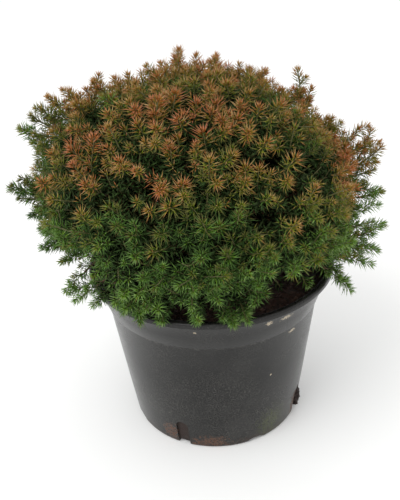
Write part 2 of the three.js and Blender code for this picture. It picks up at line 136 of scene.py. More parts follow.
def turned(profile, sides):
    """Vertices and faces of a closed profile turned round the upright axis."""
    points, faces, rings = [], [], []
    for radius, height in profile:
        first = len(points)
        count = sides if radius > 1e-6 else 1
        for i in range(count):
            angle = 2 * math.pi * i / sides
            points.append((radius * math.cos(angle), radius * math.sin(angle), height))
        rings.append((first, count))
    for (low, low_count), (high, high_count) in zip(rings, rings[1:]):
        for i in range(sides):
            j = (i + 1) % sides
            if low_count == 1:
                faces.append((low, high + j, high + i))
            elif high_count == 1:
                faces.append((low + i, low + j, high))
            else:
                faces.append((low + i, low + j, high + j, high + i))
    return points, faces


def solid(name, points, faces):
    """A mesh object from points in millimetres."""
    mesh = bpy.data.meshes.new(name)
    mesh.from_pydata((np.asarray(points, float) * MM).tolist(), [], faces)
    mesh.update()
    return put_in(name, mesh)


def worked_mesh(made):
    """A plain mesh of the object as its modifiers leave it, which then come off it."""
    bpy.context.view_layer.update()
    depsgraph = bpy.context.evaluated_depsgraph_get()
    mesh = bpy.data.meshes.new_from_object(made.evaluated_get(depsgraph), depsgraph=depsgraph)
    made.modifiers.clear()
    return mesh


def node(tree, kind, inputs=None, **settings):
    """A node in a tree, with its settings, and each input either set or joined to an output."""
    made = tree.nodes.new(kind)
    for key, value in settings.items():
        setattr(made, key, value)
    for key, value in (inputs or {}).items():
        if isinstance(value, bpy.types.NodeSocket):
            tree.links.new(value, made.inputs[key])
        else:
            made.inputs[key].default_value = value
    return made


def blended(tree, share, first, second):
    """One colour running into another by a share."""
    mix = node(tree, "ShaderNodeMix", {0: share, 6: first, 7: second}, data_type="RGBA")
    return mix.outputs[2]


def worked(tree, operation, first, second=0.0):
    """A sum, product or other reckoning of two numbers."""
    made = node(tree, "ShaderNodeMath", {0: first, 1: second}, operation=operation)
    return made.outputs[0]


def ramped(tree, value, low, high, to_low=0.0, to_high=1.0):
    """A value spread from one range to another, and kept in it."""
    inputs = {0: value, 1: low, 2: high, 3: to_low, 4: to_high}
    return node(tree, "ShaderNodeMapRange", inputs, clamp=True).outputs[0]


def vector_worked(tree, operation, first, second):
    """A sum, product or other reckoning of two vectors."""
    return node(tree, "ShaderNodeVectorMath", {0: first, 1: second}, operation=operation).outputs[0]


def length_of(tree, vector):
    """The length of a vector."""
    return node(tree, "ShaderNodeVectorMath", {0: vector}, operation="LENGTH").outputs["Value"]


def height_of(tree, place):
    """The height of a place."""
    return node(tree, "ShaderNodeSeparateXYZ", {0: place}).outputs["Z"]


def noise(tree, place, scale, detail, roughness=0.5):
    """A random pattern of a given fineness."""
    inputs = {"Vector": place, "Scale": scale, "Detail": detail, "Roughness": roughness}
    return node(tree, "ShaderNodeTexNoise", inputs).outputs["Fac"]


def raised(tree, shader, height, strength, distance):
    """Gives a shader a fine relief."""
    inputs = {"Height": height, "Strength": strength, "Distance": distance}
    relief = node(tree, "ShaderNodeBump", inputs).outputs[0]
    tree.links.new(relief, shader.inputs["Normal"])


def finish_named(name):
    """A new material, its tree, its shader and its place on the object in metres."""
    material = bpy.data.materials.new(name)
    material.use_nodes = True
    tree = material.node_tree
    place = node(tree, "ShaderNodeTexCoord").outputs["Object"]
    return material, tree, tree.nodes["Principled BSDF"], place


def mask_group(name, places, sizes):
    """A shader group with named places and sizes that puts out a mask, and its inputs."""
    tree = bpy.data.node_groups.new(name, "ShaderNodeTree")
    face = tree.interface
    for place in places:
        face.new_socket(place, in_out="INPUT", socket_type="NodeSocketVector")
    for size, value in sizes:
        face.new_socket(size, in_out="INPUT", socket_type="NodeSocketFloat").default_value = value
    face.new_socket("Mask", in_out="OUTPUT", socket_type="NodeSocketFloat")
    return tree, node(tree, "NodeGroupInput").outputs


def patch_group():
    """A ragged patch round a place on a surface, such as a stain or a smear."""
    tree, given = mask_group("ragged patch", ("Place", "Centre", "Size"),
                             (("Grain", 300.0), ("Raggedness", 0.5), ("Softness", 0.3)))
    away = vector_worked(tree, "SUBTRACT", given["Place"], given["Centre"])
    away = length_of(tree, vector_worked(tree, "DIVIDE", away, given["Size"]))
    grain = noise(tree, given["Place"], given["Grain"], 4.0, 0.65)
    grain = worked(tree, "MULTIPLY", worked(tree, "SUBTRACT", grain, 0.5), given["Raggedness"])
    edge = worked(tree, "ADD", away, worked(tree, "MULTIPLY", grain, 4.0))
    inner = worked(tree, "SUBTRACT", 1.0, given["Softness"])
    mask = ramped(tree, edge, inner, 1.0, 1.0, 0.0)
    node(tree, "NodeGroupOutput", {"Mask": mask})
    return tree


def speckle_group():
    """Fine dust and grit: small grains that lie thicker in some places than in others."""
    tree, given = mask_group("dust and grit", ("Place",),
                             (("Grain", 900.0), ("Clouds", 25.0), ("Amount", 0.5)))
    fine = noise(tree, given["Place"], given["Grain"], 3.0, 0.7)
    cloud = noise(tree, given["Place"], given["Clouds"], 3.0, 0.55)
    fine = ramped(tree, fine, 0.5, 0.78)
    cloud = ramped(tree, cloud, 0.3, 0.7, 0.25, 1.0)
    mask = worked(tree, "MULTIPLY", worked(tree, "MULTIPLY", fine, cloud), given["Amount"])
    node(tree, "NodeGroupOutput", {"Mask": mask})
    return tree


RAGGED_PATCH = patch_group()
DUST_AND_GRIT = speckle_group()


def pot_profile():
    """The wall's cut from the middle of the underside, round the lip, to the floor inside."""
    mouth = wall_radius(LIP_FOOT) - POT_WALL
    return [
        (0, UNDERSIDE_RECESS),
        (UNDERSIDE_RADIUS - 1.5, UNDERSIDE_RECESS),
        (UNDERSIDE_RADIUS, 0),
        *arc(BASE_RADIUS - BASE_ROUND, BASE_ROUND, BASE_ROUND, -90, 0, 5),
        (wall_radius(BAND_FOOT / 3), BAND_FOOT / 3),
        (wall_radius(BAND_FOOT * 2 / 3), BAND_FOOT * 2 / 3),
        (BAND_FOOT_RADIUS - BAND_STEP, BAND_FOOT - BAND_STEP / 2),
        (BAND_FOOT_RADIUS, BAND_FOOT),
        ((BAND_FOOT_RADIUS + BAND_TOP_RADIUS) / 2, (BAND_FOOT + LIP_FOOT) / 2),
        (BAND_TOP_RADIUS, LIP_FOOT),
        (RIM_RADIUS - LIP_EDGE, LIP_FOOT),
        (RIM_RADIUS, LIP_FOOT + LIP_EDGE),
        *arc(RIM_RADIUS - LIP_ROUND, POT_HEIGHT - LIP_ROUND, LIP_ROUND, 0, 90, 6),
        *arc(mouth + LIP_ROUND, POT_HEIGHT - LIP_ROUND, LIP_ROUND, 90, 180, 5),
        (mouth, LIP_FOOT),
        (wall_radius(BAND_FOOT) - POT_WALL, BAND_FOOT),
        (BASE_RADIUS - POT_WALL, POT_FLOOR),
        (0, POT_FLOOR),
    ]


def drain_cutter(width, height, crown, degrees):
    """Points and faces of a round-topped block that is pushed through the pot's foot."""
    outline = [(-width / 2, -1), (width / 2, -1)]
    angles = np.linspace(0, math.pi, 13)
    outline += [(width / 2 * math.cos(a), height - crown + crown * math.sin(a)) for a in angles]
    turn_by = math.radians(degrees)
    points = []
    for depth in (-(BASE_RADIUS + DRAIN_REACH), -(BASE_RADIUS - DRAIN_REACH)):
        for side, up in outline:
            points.append((side * math.cos(turn_by) - depth * math.sin(turn_by),
                           side * math.sin(turn_by) + depth * math.cos(turn_by), up))
    count = len(outline)
    faces = [tuple(range(count)), tuple(range(2 * count - 1, count - 1, -1))]
    faces += [(i, count + i, count + (i + 1) % count, (i + 1) % count) for i in range(count)]
    return points, faces


points, faces = turned(eased(pot_profile(), EDGE_EASE), POT_SIDES)
pot = solid("pot_wall", points, faces)
cut_points, cut_faces = [], []
for i in range(DRAINS):
    quarter = 360 / DRAINS * i
    for width, height, crown, degrees in (
        (SLOT_WIDTH, SLOT_HEIGHT, SLOT_WIDTH / 2, SLOT_ANGLE + quarter),
        (ARCH_WIDTH, ARCH_HEIGHT, ARCH_HEIGHT, ARCH_ANGLE + quarter),
    ):
        points, faces = drain_cutter(width, height, crown, degrees)
        cut_faces += [tuple(len(cut_points) + k for k in face) for face in faces]
        cut_points += points
cutter = solid("drain_cutter", cut_points, cut_faces)
cut = pot.modifiers.new("drains", "BOOLEAN")
cut.operation = "DIFFERENCE"
cut.solver = "EXACT"
cut.object = cutter
pot.data = worked_mesh(pot)
bpy.data.objects.remove(cutter)
pot.data.shade_smooth()
pot.data.set_sharp_from_angle(angle=math.radians(40))

CHARCOAL = (0.0065, 0.0063, 0.0058, 1)
CHARCOAL_WORN = (0.014, 0.0135, 0.0125, 1)
# The grey of the dust, also used for the painted highlight in the crease below the band
PLASTIC_DUST_AND_HIGHLIGHT = (0.15, 0.145, 0.13, 1)
POT_SOIL = (0.14, 0.06, 0.03, 1)
POT_ALGAE = (0.055, 0.065, 0.02, 1)
SCUFFED = (0.5, 0.42, 0.3, 1)
# Marks on the pot's wall: the middle and size of each, in metres
SOIL_SPOTS = [((-0.008, -0.070, 0.005), (0.016, 0.02, 0.008)),
              ((0.062, -0.032, 0.012), (0.008, 0.01, 0.014)),
              ((-0.038, -0.059, 0.011), (0.006, 0.02, 0.009))]
ALGAE_SPOT = ((0.041, -0.058, 0.014), (0.017, 0.02, 0.02))
SCUFFS = [((0.0492, -0.0748, 0.1247), (0.0042, 0.009, 0.0017)),
          ((0.0367, -0.0819, 0.1254), (0.0023, 0.006, 0.0018)),
          ((0.0552, -0.0609, 0.1031), (0.0025, 0.008, 0.0014)),
          ((-0.0146, -0.0885, 0.1252), (0.0011, 0.004, 0.001)),
          ((0.0396, -0.0668, 0.0684), (0.0007, 0.004, 0.0007))]
# A thin light line in the crease below the band, a painted highlight broken up by grime: the heights
# between which it comes and goes, in metres
CREASE_FROM = (0.1050, 0.1058)
CREASE_TO = (0.1070, 0.1062)


def patch(tree, place, centre, size, more):
    """The mask of one ragged patch on a material."""
    inputs = {"Place": place, "Centre": centre, "Size": size, **more}
    return node(tree, "ShaderNodeGroup", inputs, node_tree=RAGGED_PATCH).outputs["Mask"]


material, tree, shader, place = finish_named("charcoal plastic")
worn = noise(tree, place, 38.0, 5.0, 0.6)
colour = blended(tree, ramped(tree, worn, 0.38, 0.68), CHARCOAL, CHARCOAL_WORN)
height = height_of(tree, place)
amount = ramped(tree, height, 0.005, 0.1, 0.95, 0.35)
dust = node(tree, "ShaderNodeGroup", {"Place": place, "Amount": amount}, node_tree=DUST_AND_GRIT)
colour = blended(tree, dust.outputs["Mask"], colour, PLASTIC_DUST_AND_HIGHLIGHT)
grime = noise(tree, place, 160.0, 5.0, 0.7)
flecks = noise(tree, place, 620.0, 4.0, 0.75)
soil = ramped(tree, worked(tree, "ADD", height, worked(tree, "MULTIPLY", grime, 0.02)),
              0.008, 0.018, 0.3, 0.0)
for centre, size in SOIL_SPOTS:
    spot = patch(tree, place, centre, size, {"Raggedness": 0.8})
    soil = worked(tree, "MAXIMUM", soil, worked(tree, "MULTIPLY", spot, 0.75))
soil = worked(tree, "MULTIPLY", soil, ramped(tree, flecks, 0.42, 0.6, 0.15, 1.0))
colour = blended(tree, soil, colour, POT_SOIL)
algae = patch(tree, place, *ALGAE_SPOT, {"Raggedness": 0.7, "Softness": 0.9})
algae = worked(tree, "MULTIPLY", algae, ramped(tree, flecks, 0.4, 0.62, 0.3, 0.9))
colour = blended(tree, algae, colour, POT_ALGAE)
# The crease line below the band is a painted highlight in the grey of the dust.
crease = ramped(tree, height, *CREASE_FROM)
crease = worked(tree, "MULTIPLY", crease, ramped(tree, height, *CREASE_TO))
crease = worked(tree, "MULTIPLY", crease, ramped(tree, grime, 0.45, 0.65, 0.0, 0.3))
colour = blended(tree, crease, colour, PLASTIC_DUST_AND_HIGHLIGHT)
scuffs = 0.0
for centre, size in SCUFFS:
    spot = patch(tree, place, centre, size, {"Grain": 750.0, "Raggedness": 1.1})
    scuffs = worked(tree, "MAXIMUM", scuffs, spot)
colour = blended(tree, worked(tree, "MULTIPLY", scuffs, 0.7), colour, SCUFFED)
tree.links.new(colour, shader.inputs["Base Color"])
dullness = ramped(tree, worn, 0.35, 0.7, 0.21, 0.31)
dullness = worked(tree, "MAXIMUM", dullness, worked(tree, "MULTIPLY", soil, 0.9))
tree.links.new(dullness, shader.inputs["Roughness"])
shader.inputs["Specular IOR Level"].default_value = 0.3
skin = noise(tree, place, 700.0, 2.0)
skin = worked(tree, "ADD", skin, worked(tree, "MULTIPLY", soil, 2.0))
raised(tree, shader, skin, 0.25, 0.0004)
pot.data.materials.clear()
pot.data.materials.append(material)
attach(pot, "root")
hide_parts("pot")


# The compost: damp dark bark and peat, tamped into the pot to twelve millimetres below its
# rim. Crumbs and chips of bark lie loose on top of it.
COMPOST_LEVEL = 124
COMPOST_GAP = 0.3
COMPOST_SIDES = 120
COMPOST_RINGS = 44
COMPOST_ROUGHNESS = 1.5
COMPOST_SHOULDER = 95
STEM_MOUND = 1.5
STEM_MOUND_SPREAD = 14
EDGE_DIP = 1.2
EDGE_DIP_WIDTH = 5
STEM_FOOT = (-3, 1)
PLUG_SIZE = (3.6, 5.0, 10.0)
PLUG_SIDES = 18
PLUG_BUMPS = 0.22
PLUG_AWAY = 68.6
PLUG_UP = 14
rng = np.random.default_rng(124)


def lumps(x, y, longest, shortest, count):
    """A bumpy height from waves of different length and direction, mostly between -1 and 1."""
    total = np.zeros_like(x)
    weight = 0
    for wave in np.geomspace(longest, shortest, count):
        angle, phase = rng.uniform(0, 2 * math.pi, 2)
        size = (wave / longest) ** 0.6
        total += size * np.cos(2 * math.pi * (x * math.cos(angle) + y * math.sin(angle)) / wave + phase)
        weight += size * size
    return total / math.sqrt(2 * weight)


def compost_radius(height):
    """Where the compost ends at a height, just inside the pot's wall."""
    return wall_radius(height) - POT_WALL - COMPOST_GAP


surface_radius = compost_radius(COMPOST_LEVEL)
bottom = POT_FLOOR + COMPOST_GAP
profile = [(0, COMPOST_LEVEL)]
for i in range(1, COMPOST_RINGS + 1):
    profile.append((surface_radius * (i / COMPOST_RINGS) ** 0.9, COMPOST_LEVEL))
profile.append((compost_radius(BAND_FOOT), BAND_FOOT - COMPOST_GAP))
profile += [(compost_radius(h), h) for h in np.linspace(COMPOST_SHOULDER, bottom, 16)]
profile.append((0, bottom))
points, faces = turned(profile[::-1], COMPOST_SIDES)
points = np.array(points)
radius = np.hypot(points[:, 0], points[:, 1])
bumps = lumps(points[:, 0], points[:, 1], 45, 4, 26) * COMPOST_ROUGHNESS
from_stem = np.hypot(points[:, 0] - STEM_FOOT[0], points[:, 1] - STEM_FOOT[1])
to_edge = np.clip((radius - surface_radius + EDGE_DIP_WIDTH) / EDGE_DIP_WIDTH, 0, 1)
bumps += STEM_MOUND * np.exp(-(from_stem / STEM_MOUND_SPREAD) ** 2) - EDGE_DIP * to_edge
points[:, 2] += np.where(points[:, 2] > COMPOST_LEVEL - 0.1, bumps, 0)
compost = solid("compost_bed", points, faces)
compost.data.shade_smooth()

COMPOST_DARK = (0.022, 0.0125, 0.0095, 1)
COMPOST_BROWN = (0.085, 0.038, 0.026, 1)
COMPOST_PALE = (0.20, 0.12, 0.08, 1)
material, tree, shader, place = finish_named("bark compost")
clods = noise(tree, place, 260.0, 6.0, 0.7)
colour = blended(tree, ramped(tree, clods, 0.4, 0.66), COMPOST_DARK, COMPOST_BROWN)
bits = node(tree, "ShaderNodeTexVoronoi", {"Vector": place, "Scale": 420.0}).outputs["Color"]
bits = node(tree, "ShaderNodeSeparateColor", {0: bits}).outputs[0]
colour = blended(tree, ramped(tree, bits, 0.86, 1.0, 0.0, 0.55), colour, COMPOST_PALE)
height = height_of(tree, place)
colour = blended(tree, ramped(tree, height, 0.1, 0.09, 0.0, 0.9), colour, COMPOST_DARK)
tree.links.new(colour, shader.inputs["Base Color"])
tree.links.new(ramped(tree, clods, 0.3, 0.7, 0.65, 0.95), shader.inputs["Roughness"])
raised(tree, shader, clods, 0.8, 0.0012)
compost_finish = material
compost.data.materials.append(compost_finish)


def set_up(tree_name, sizes):
    """A geometry tree with named inputs, what they hand on, and their identifiers."""
    tree = bpy.data.node_groups.new(tree_name, "GeometryNodeTree")
    tree.interface.new_socket("Geometry", in_out="INPUT", socket_type="NodeSocketGeometry")
    names = {}
    for name, kind in sizes:
        made = tree.interface.new_socket(name, in_out="INPUT", socket_type="NodeSocket" + kind)
        names[name] = made.identifier
    tree.interface.new_socket("Geometry", in_out="OUTPUT", socket_type="NodeSocketGeometry")
    return tree, node(tree, "NodeGroupInput").outputs, names


def dressed(tree, geometry, material):
    """Geometry with its instances made real, shaded smooth and given its material."""
    real = node(tree, "GeometryNodeRealizeInstances", {0: geometry}).outputs[0]
    smooth = node(tree, "GeometryNodeSetShadeSmooth", {0: real}).outputs[0]
    return node(tree, "GeometryNodeSetMaterial", {0: smooth, 2: material}).outputs[0]


def random_number(tree, low, high, seed):
    """A random number for each point."""
    return node(tree, "FunctionNodeRandomValue", {2: low, 3: high, 8: seed}).outputs[1]


def random_vector(tree, low, high, seed):
    """A random vector for each point."""
    inputs = {0: low, 1: high, 8: seed}
    return node(tree, "FunctionNodeRandomValue", inputs, data_type="FLOAT_VECTOR").outputs[0]


def compared(tree, operation, first, second, kind="FLOAT"):
    """Whether one number is above, below or equal to another."""
    inputs = {2: first, 3: second} if kind == "INT" else {0: first, 1: second}
    return node(tree, "FunctionNodeCompare", inputs, data_type=kind, operation=operation).outputs[0]


def combined(tree, x, y, z):
    """A vector from its three numbers."""
    return node(tree, "ShaderNodeCombineXYZ", {0: x, 1: y, 2: z}).outputs[0]


def made_by(name, base, tree, names, values):
    """A plain mesh object that a geometry tree makes from a base object."""
    modifier = base.modifiers.new(name, "NODES")
    modifier.node_group = tree
    for key, value in values.items():
        modifier[names[key]] = value
    mesh = worked_mesh(base)
    mesh.name = name
    for attribute in [a.name for a in mesh.attributes if not a.is_internal and not a.is_required]:
        if attribute not in ("material_index", "sharp_face", "sharp_edge"):
            mesh.attributes.remove(mesh.attributes[attribute])
    return put_in(name, mesh)


def crumb_tree():
    """Chips and crumbs scattered over the part of a surface that lies above a height."""
    tree, given, names = set_up("loose crumbs", [
        ("Density", "Float"), ("Above", "Float"), ("Within", "Float"), ("Smallest", "Float"),
        ("Largest", "Float"), ("Flatness", "Float"), ("Seed", "Int"), ("Finish", "Material")])
    place = node(tree, "GeometryNodeInputPosition").outputs[0]
    above = compared(tree, "GREATER_THAN", height_of(tree, place), given["Above"])
    away = length_of(tree, vector_worked(tree, "MULTIPLY", place, (1, 1, 0)))
    inside = compared(tree, "LESS_THAN", away, given["Within"])
    on_top = node(tree, "FunctionNodeBooleanMath", {0: above, 1: inside}, operation="AND").outputs[0]
    spread = node(tree, "GeometryNodeDistributePointsOnFaces",
                  {"Mesh": given["Geometry"], "Selection": on_top, "Density": given["Density"],
                   "Seed": given["Seed"]})
    ball = node(tree, "GeometryNodeMeshIcoSphere", {0: 1.0, 1: 1}).outputs[0]
    knock = random_vector(tree, (-0.42,) * 3, (0.42,) * 3, 5)
    chip = node(tree, "GeometryNodeSetPosition", {0: ball, 3: knock}).outputs[0]
    turn_by = random_vector(tree, (-0.5, -0.5, 0), (0.5, 0.5, 6.28), 9)
    chance = worked(tree, "POWER", random_number(tree, 0.0, 1.0, 3), 2.5)
    size = ramped(tree, chance, 0.0, 1.0, given["Smallest"], given["Largest"])
    long = worked(tree, "MULTIPLY", size, random_number(tree, 1.0, 2.2, 4))
    thin = worked(tree, "MULTIPLY", size, given["Flatness"])
    scale = combined(tree, long, size, thin)
    lain = node(tree, "GeometryNodeInstanceOnPoints",
                {"Points": spread.outputs[0], "Instance": chip, "Rotation": turn_by, "Scale": scale})
    node(tree, "NodeGroupOutput", {0: dressed(tree, lain.outputs[0], given["Finish"])})
    return tree, names


def pointing(azimuth, elevation):
    """A direction, with its azimuth from the right towards the back, in degrees."""
    a, e = math.radians(azimuth), math.radians(elevation)
    return np.array((math.cos(e) * math.cos(a), math.cos(e) * math.sin(a), math.sin(e)))


UP = np.array((0.0, 0.0, 1.0))
tree, names = crumb_tree()
crumbs = made_by("compost_crumbs", compost, tree, names, {
    "Density": 130000.0, "Above": (COMPOST_LEVEL - 5) * MM, "Within": (surface_radius - 4) * MM,
    "Smallest": 0.35 * MM, "Largest": 2.2 * MM, "Flatness": 0.55, "Seed": 12,
    "Finish": compost_finish})
# The soil that bulges out of one drain slot: a lumpy ball, drawn out upwards and pushed into it
ball = [(math.sin(a), -math.cos(a)) for a in np.linspace(0.3, 2.84, 11)]
points, faces = turned([(0, -1), *ball, (0, 1)], PLUG_SIDES)
points = np.array(points)
bumps = lumps(points[:, 0] * 5 + points[:, 2] * 3, points[:, 1] * 5, 7, 1.5, 9)
points *= (1 + PLUG_BUMPS * bumps)[:, None]
points = points * PLUG_SIZE
slot_way = pointing(SLOT_ANGLE + 2, 0)
points = points @ np.array((slot_way, np.cross(UP, slot_way), UP)) + slot_way * PLUG_AWAY + UP * PLUG_UP
plug = solid("compost_in_slot", points, faces)
plug.data.shade_smooth()
plug.data.materials.append(compost_finish)
plug_crumbs = made_by("compost_in_slot_crumbs", plug, tree, names, {
    "Density": 900000.0, "Above": 0.004, "Within": 0.2, "Smallest": 0.3 * MM, "Largest": 1.5 * MM,
    "Flatness": 0.7, "Seed": 5, "Finish": compost_finish})
for piece in (compost, crumbs, plug, plug_crumbs):
    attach(piece, "root")
    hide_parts("compost")


# The trunk and its boughs: one short woody stem that rises from the compost and sends out a
# limb to each mass of foliage. Thin red-brown bark peels off them in narrow upright strips.
HEART = np.array((-8.0, 0.0, 172.0))
TRUNK_FOOT = np.array((-3.0, 1.0, 123.2))
TRUNK_TOP_LEAN = np.array((-1.5, 2.0, 0.0))
TRUNK_RADIUS = 7.4
TRUNK_TIP_RADIUS = 2
TRUNK_FLARE = 5
TRUNK_FLARE_HEIGHT = 9
BOUGH_RADIUS = 2.3
BOUGH_TIP_RADIUS = 1.6
BOUGH_LENGTH = 57
BOUGH_BEND = 33


def straightened(vector):
    """The direction of a vector, with the length 1."""
    return vector / np.linalg.norm(vector)


def bent(start, middle, end, steps):
    """Points along a smooth bend between two ends."""
    t = np.linspace(0, 1, steps + 1)[:, None]
    return (1 - t) ** 2 * start + 2 * t * (1 - t) * middle + t ** 2 * end


# Rings of masses up the crown: name, count, elevation, first azimuth, fork height, stagger
RINGS = [("lower", 10, -9, -96, 143, 8),
         ("middle", 8, 21, -84, 160, 7),
         ("upper", 5, 54, -104, 177, 4)]
masses = [("top", pointing(0, 90), None)]
for ring, count, elevation, first, fork, stagger in RINGS:
    for i in range(count):
        axis = pointing(first + 360 / count * i, elevation)
        masses.append((f"{ring}_{i + 1}", axis, fork + (i % 2) * stagger))
trunk_line = bent(TRUNK_FOOT, HEART + TRUNK_TOP_LEAN, HEART + UP * BOUGH_LENGTH, 48)


def limb(line, radii, sides, strips, depth):
    """Points and faces of a limb along a line, with strips of bark raised along it."""
    along = np.gradient(line, axis=0)
    along /= np.linalg.norm(along, axis=1)[:, None]
    side = np.cross(along, pointing(72, 4))
    side /= np.linalg.norm(side, axis=1)[:, None]
    other = np.cross(side, along)
    angles = np.linspace(0, 2 * math.pi, sides, endpoint=False)
    length = np.concatenate([[0], np.cumsum(np.linalg.norm(np.diff(line, axis=0), axis=1))])
    points = [line[0]]
    for k in range(len(line)):
        wander = 0.5 * np.sin(length[k] * 0.21 + angles * 2) + 0.3 * np.sin(length[k] * 0.53 + angles)
        strip = np.cos(angles * strips + 3 * wander)
        strip = strip + 0.5 * np.cos(angles * (2 * strips + 1) - 5 * wander)
        radius = radii[k] * (1 + depth * strip)
        ring = line[k] + np.outer(radius * np.cos(angles), side[k])
        points.extend(ring - np.outer(radius * np.sin(angles), other[k]))
    points.append(line[-1])
    last = len(points) - 1
    faces = []
    for i in range(sides):
        j = (i + 1) % sides
        faces.append((0, 1 + j, 1 + i))
        for k in range(len(line) - 1):
            low, high = 1 + k * sides, 1 + (k + 1) * sides
            faces.append((low + i, low + j, high + j, high + i))
        top = 1 + (len(line) - 1) * sides
        faces.append((top + i, top + j, last))
    return points, faces


share = np.linspace(0, 1, 49)
rise = trunk_line[:, 2] - TRUNK_FOOT[2]
trunk_radii = TRUNK_RADIUS + (TRUNK_TIP_RADIUS - TRUNK_RADIUS) * share
trunk_radii = trunk_radii + TRUNK_FLARE * np.exp(-rise / TRUNK_FLARE_HEIGHT)
limb_points, limb_faces = limb(trunk_line, trunk_radii, 36, 7, 0.06)
for name, axis, fork in masses:
    if fork is None:
        continue
    start = trunk_line[np.argmin(np.abs(trunk_line[:, 2] - fork))]
    line = bent(start, HEART + axis * BOUGH_BEND, HEART + axis * BOUGH_LENGTH, 16)
    radii = np.linspace(BOUGH_RADIUS, BOUGH_TIP_RADIUS, 17)
    points, faces = limb(line, radii, 14, 3, 0.07)
    limb_faces += [tuple(len(limb_points) + k for k in face) for face in faces]
    limb_points += points
limbs = solid("trunk_and_boughs", limb_points, limb_faces)
limbs.data.shade_smooth()

BARK_DARK = (0.045, 0.024, 0.015, 1)
BARK_RED = (0.17, 0.085, 0.05, 1)
BARK_GREY = (0.2, 0.15, 0.11, 1)
material, tree, shader, place = finish_named("peeling bark")
drawn = node(tree, "ShaderNodeMapping", {"Vector": place, "Scale": (1, 1, 0.16)}).outputs[0]
fibres = noise(tree, drawn, 620.0, 5.0, 0.7)
colour = blended(tree, ramped(tree, fibres, 0.38, 0.62), BARK_DARK, BARK_RED)
flakes = noise(tree, drawn, 210.0, 3.0)
colour = blended(tree, ramped(tree, flakes, 0.56, 0.7, 0.0, 0.6), colour, BARK_GREY)
tree.links.new(colour, shader.inputs["Base Color"])
tree.links.new(ramped(tree, fibres, 0.3, 0.7, 0.95, 0.7), shader.inputs["Roughness"])
raised(tree, shader, fibres, 0.7, 0.0007)
bark_finish = material
limbs.data.materials.append(bark_finish)
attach(limbs, "root")
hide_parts("trunk", *(f"bough_{name}" for name, axis, fork in masses if fork is not None))


# The twigs: from the end of each bough, branchlets run out to the crown's uneven outline, and
# side shoots stand round them in a spiral. They are brown where old and green where young.
CROWN_CENTRE = np.array((-10.0, 0.0, 199.0))
CROWN_RADII = np.array((129.0, 125.0, 83.0))
SKIRT_RISE = 14
SKIRT_FULL = 18
# Swells and hollows of the outline: azimuth, elevation, rise, spread
SWELLS = [(168, 35, 11, 13), (-161, 7, -15, 11), (-158, -16, -8, 11), (-22, 4, 14, 15), (-14, -14, 20, 15),
          (6, 34, -14, 11), (100, 66, 6, 9)]
# Leading shoots that stand out of it: azimuth, elevation, reach
LEADERS = [(166, 55, 126), (160, 60, 119), (154, 64, 117), (174, 47, 136), (177, 43, 140), (180, 39, 143),
           (-177, 32, 145), (143, 70, 117), (130, 73, 116), (107, 77, 123), (80, 77, 118), (54, 74, 119),
           (34, 68, 116), (28, 65, 115), (22, 60, 117), (9, 47, 121), (1, 35, 123), (0, 32, 126),
           (-4, 28, 141), (-7, 23, 144), (-8, 18, 138), (-12, 10, 138), (-13, 6, 135), (-16, 1, 139),
           (-20, -6, 137), (-22, -10, 136), (-27, -19, 129), (-170, 16, 141), (-172, 19, 135),
           (-169, 8, 126), (-168, 3, 120), (-164, -2, 121), (-162, -9, 111), (-153, -16, 117),
           (-146, -17, 116), (-136, -17, 108), (-123, -17, 107), (-114, -17, 111), (-108, -18, 106),
           (-93, -18, 106), (-79, -17, 112), (-74, -18, 106), (-66, -16, 96), (98, 61, 127), (72, 59, 122)]
# Arms that stand out from the crown and sprays that hang over the compost and rim: foot, tip
ARMS = [((70, 10, 238), (67, 16, 277)), ((72, 10, 244), (78, 12, 264)), ((70, 11, 250), (63, 13, 264)),
        ((55, 13, 252), (57, 15, 263)), ((78, 6, 228), (82, 7, 244)), ((88, 1, 224), (91, 3, 241)),
        ((108, -8, 214), (117, -11, 238)), ((108, -10, 210), (125, -17, 226)),
        ((106, -13, 202), (121, -20, 210)), ((98, -15, 198), (114, -20, 199)),
        ((90, -15, 188), (125, -28, 195)), ((94, -19, 182), (108, -30, 175)),
        ((98, -32, 163), (124, -38, 174)), ((96, -33, 160), (118, -44, 159)),
        ((86, -38, 146), (99, -53, 131)), ((-110, 0, 240), (-132, -7, 250)),
        ((-106, 2, 246), (-124, -1, 257)), ((-106, 3, 248), (-116, 3, 263)),
        ((-98, 8, 253), (-111, 5, 269)), ((-90, 9, 258), (-95, 11, 272)), ((-76, 15, 262), (-72, 19, 280)),
        ((-78, 13, 258), (-84, 15, 271)), ((-108, -12, 194), (-141, -21, 213)),
        ((-112, -13, 196), (-131, -15, 216)), ((-114, -16, 192), (-129, -23, 188)),
        ((-118, -17, 200), (-137, -24, 203)), ((-102, -20, 172), (-122, -33, 165)),
        ((-88, -20, 164), (-106, -32, 154)), ((-80, -34, 143), (-107, -47, 135)),
        ((-72, -56, 150), (-86, -75, 140)), ((-52, -66, 152), (-50, -94, 140)),
        ((-50, -62, 152), (-61, -82, 140)), ((-38, -66, 152), (-35, -100, 140)),
        ((-9, -66, 153), (-13, -99, 140)), ((9, -72, 153), (11, -107, 140)),
        ((17, -73, 153), (21, -105, 140)), ((34, -46, 155), (30, -70, 135)),
        ((38, -44, 155), (49, -56, 134)), ((62, -48, 152), (66, -66, 140))]
# The crown's edge between its arms from the front: an even reach, with swells and hollows
# at angles round the heart: angle, rise, spread. Low down, over the pot, nothing limits it.
EDGE_REACH = 114
EDGE_SWELLS = [(-28, -7, 6), (-12, 6, 8), (18, 11, 12), (150, 17, 20), (183, 6, 9), (200, -24, 12)]
EDGE_FIRST = -35
EDGE_LAST = 215
EDGE_FREE = 150
SEED = 4117
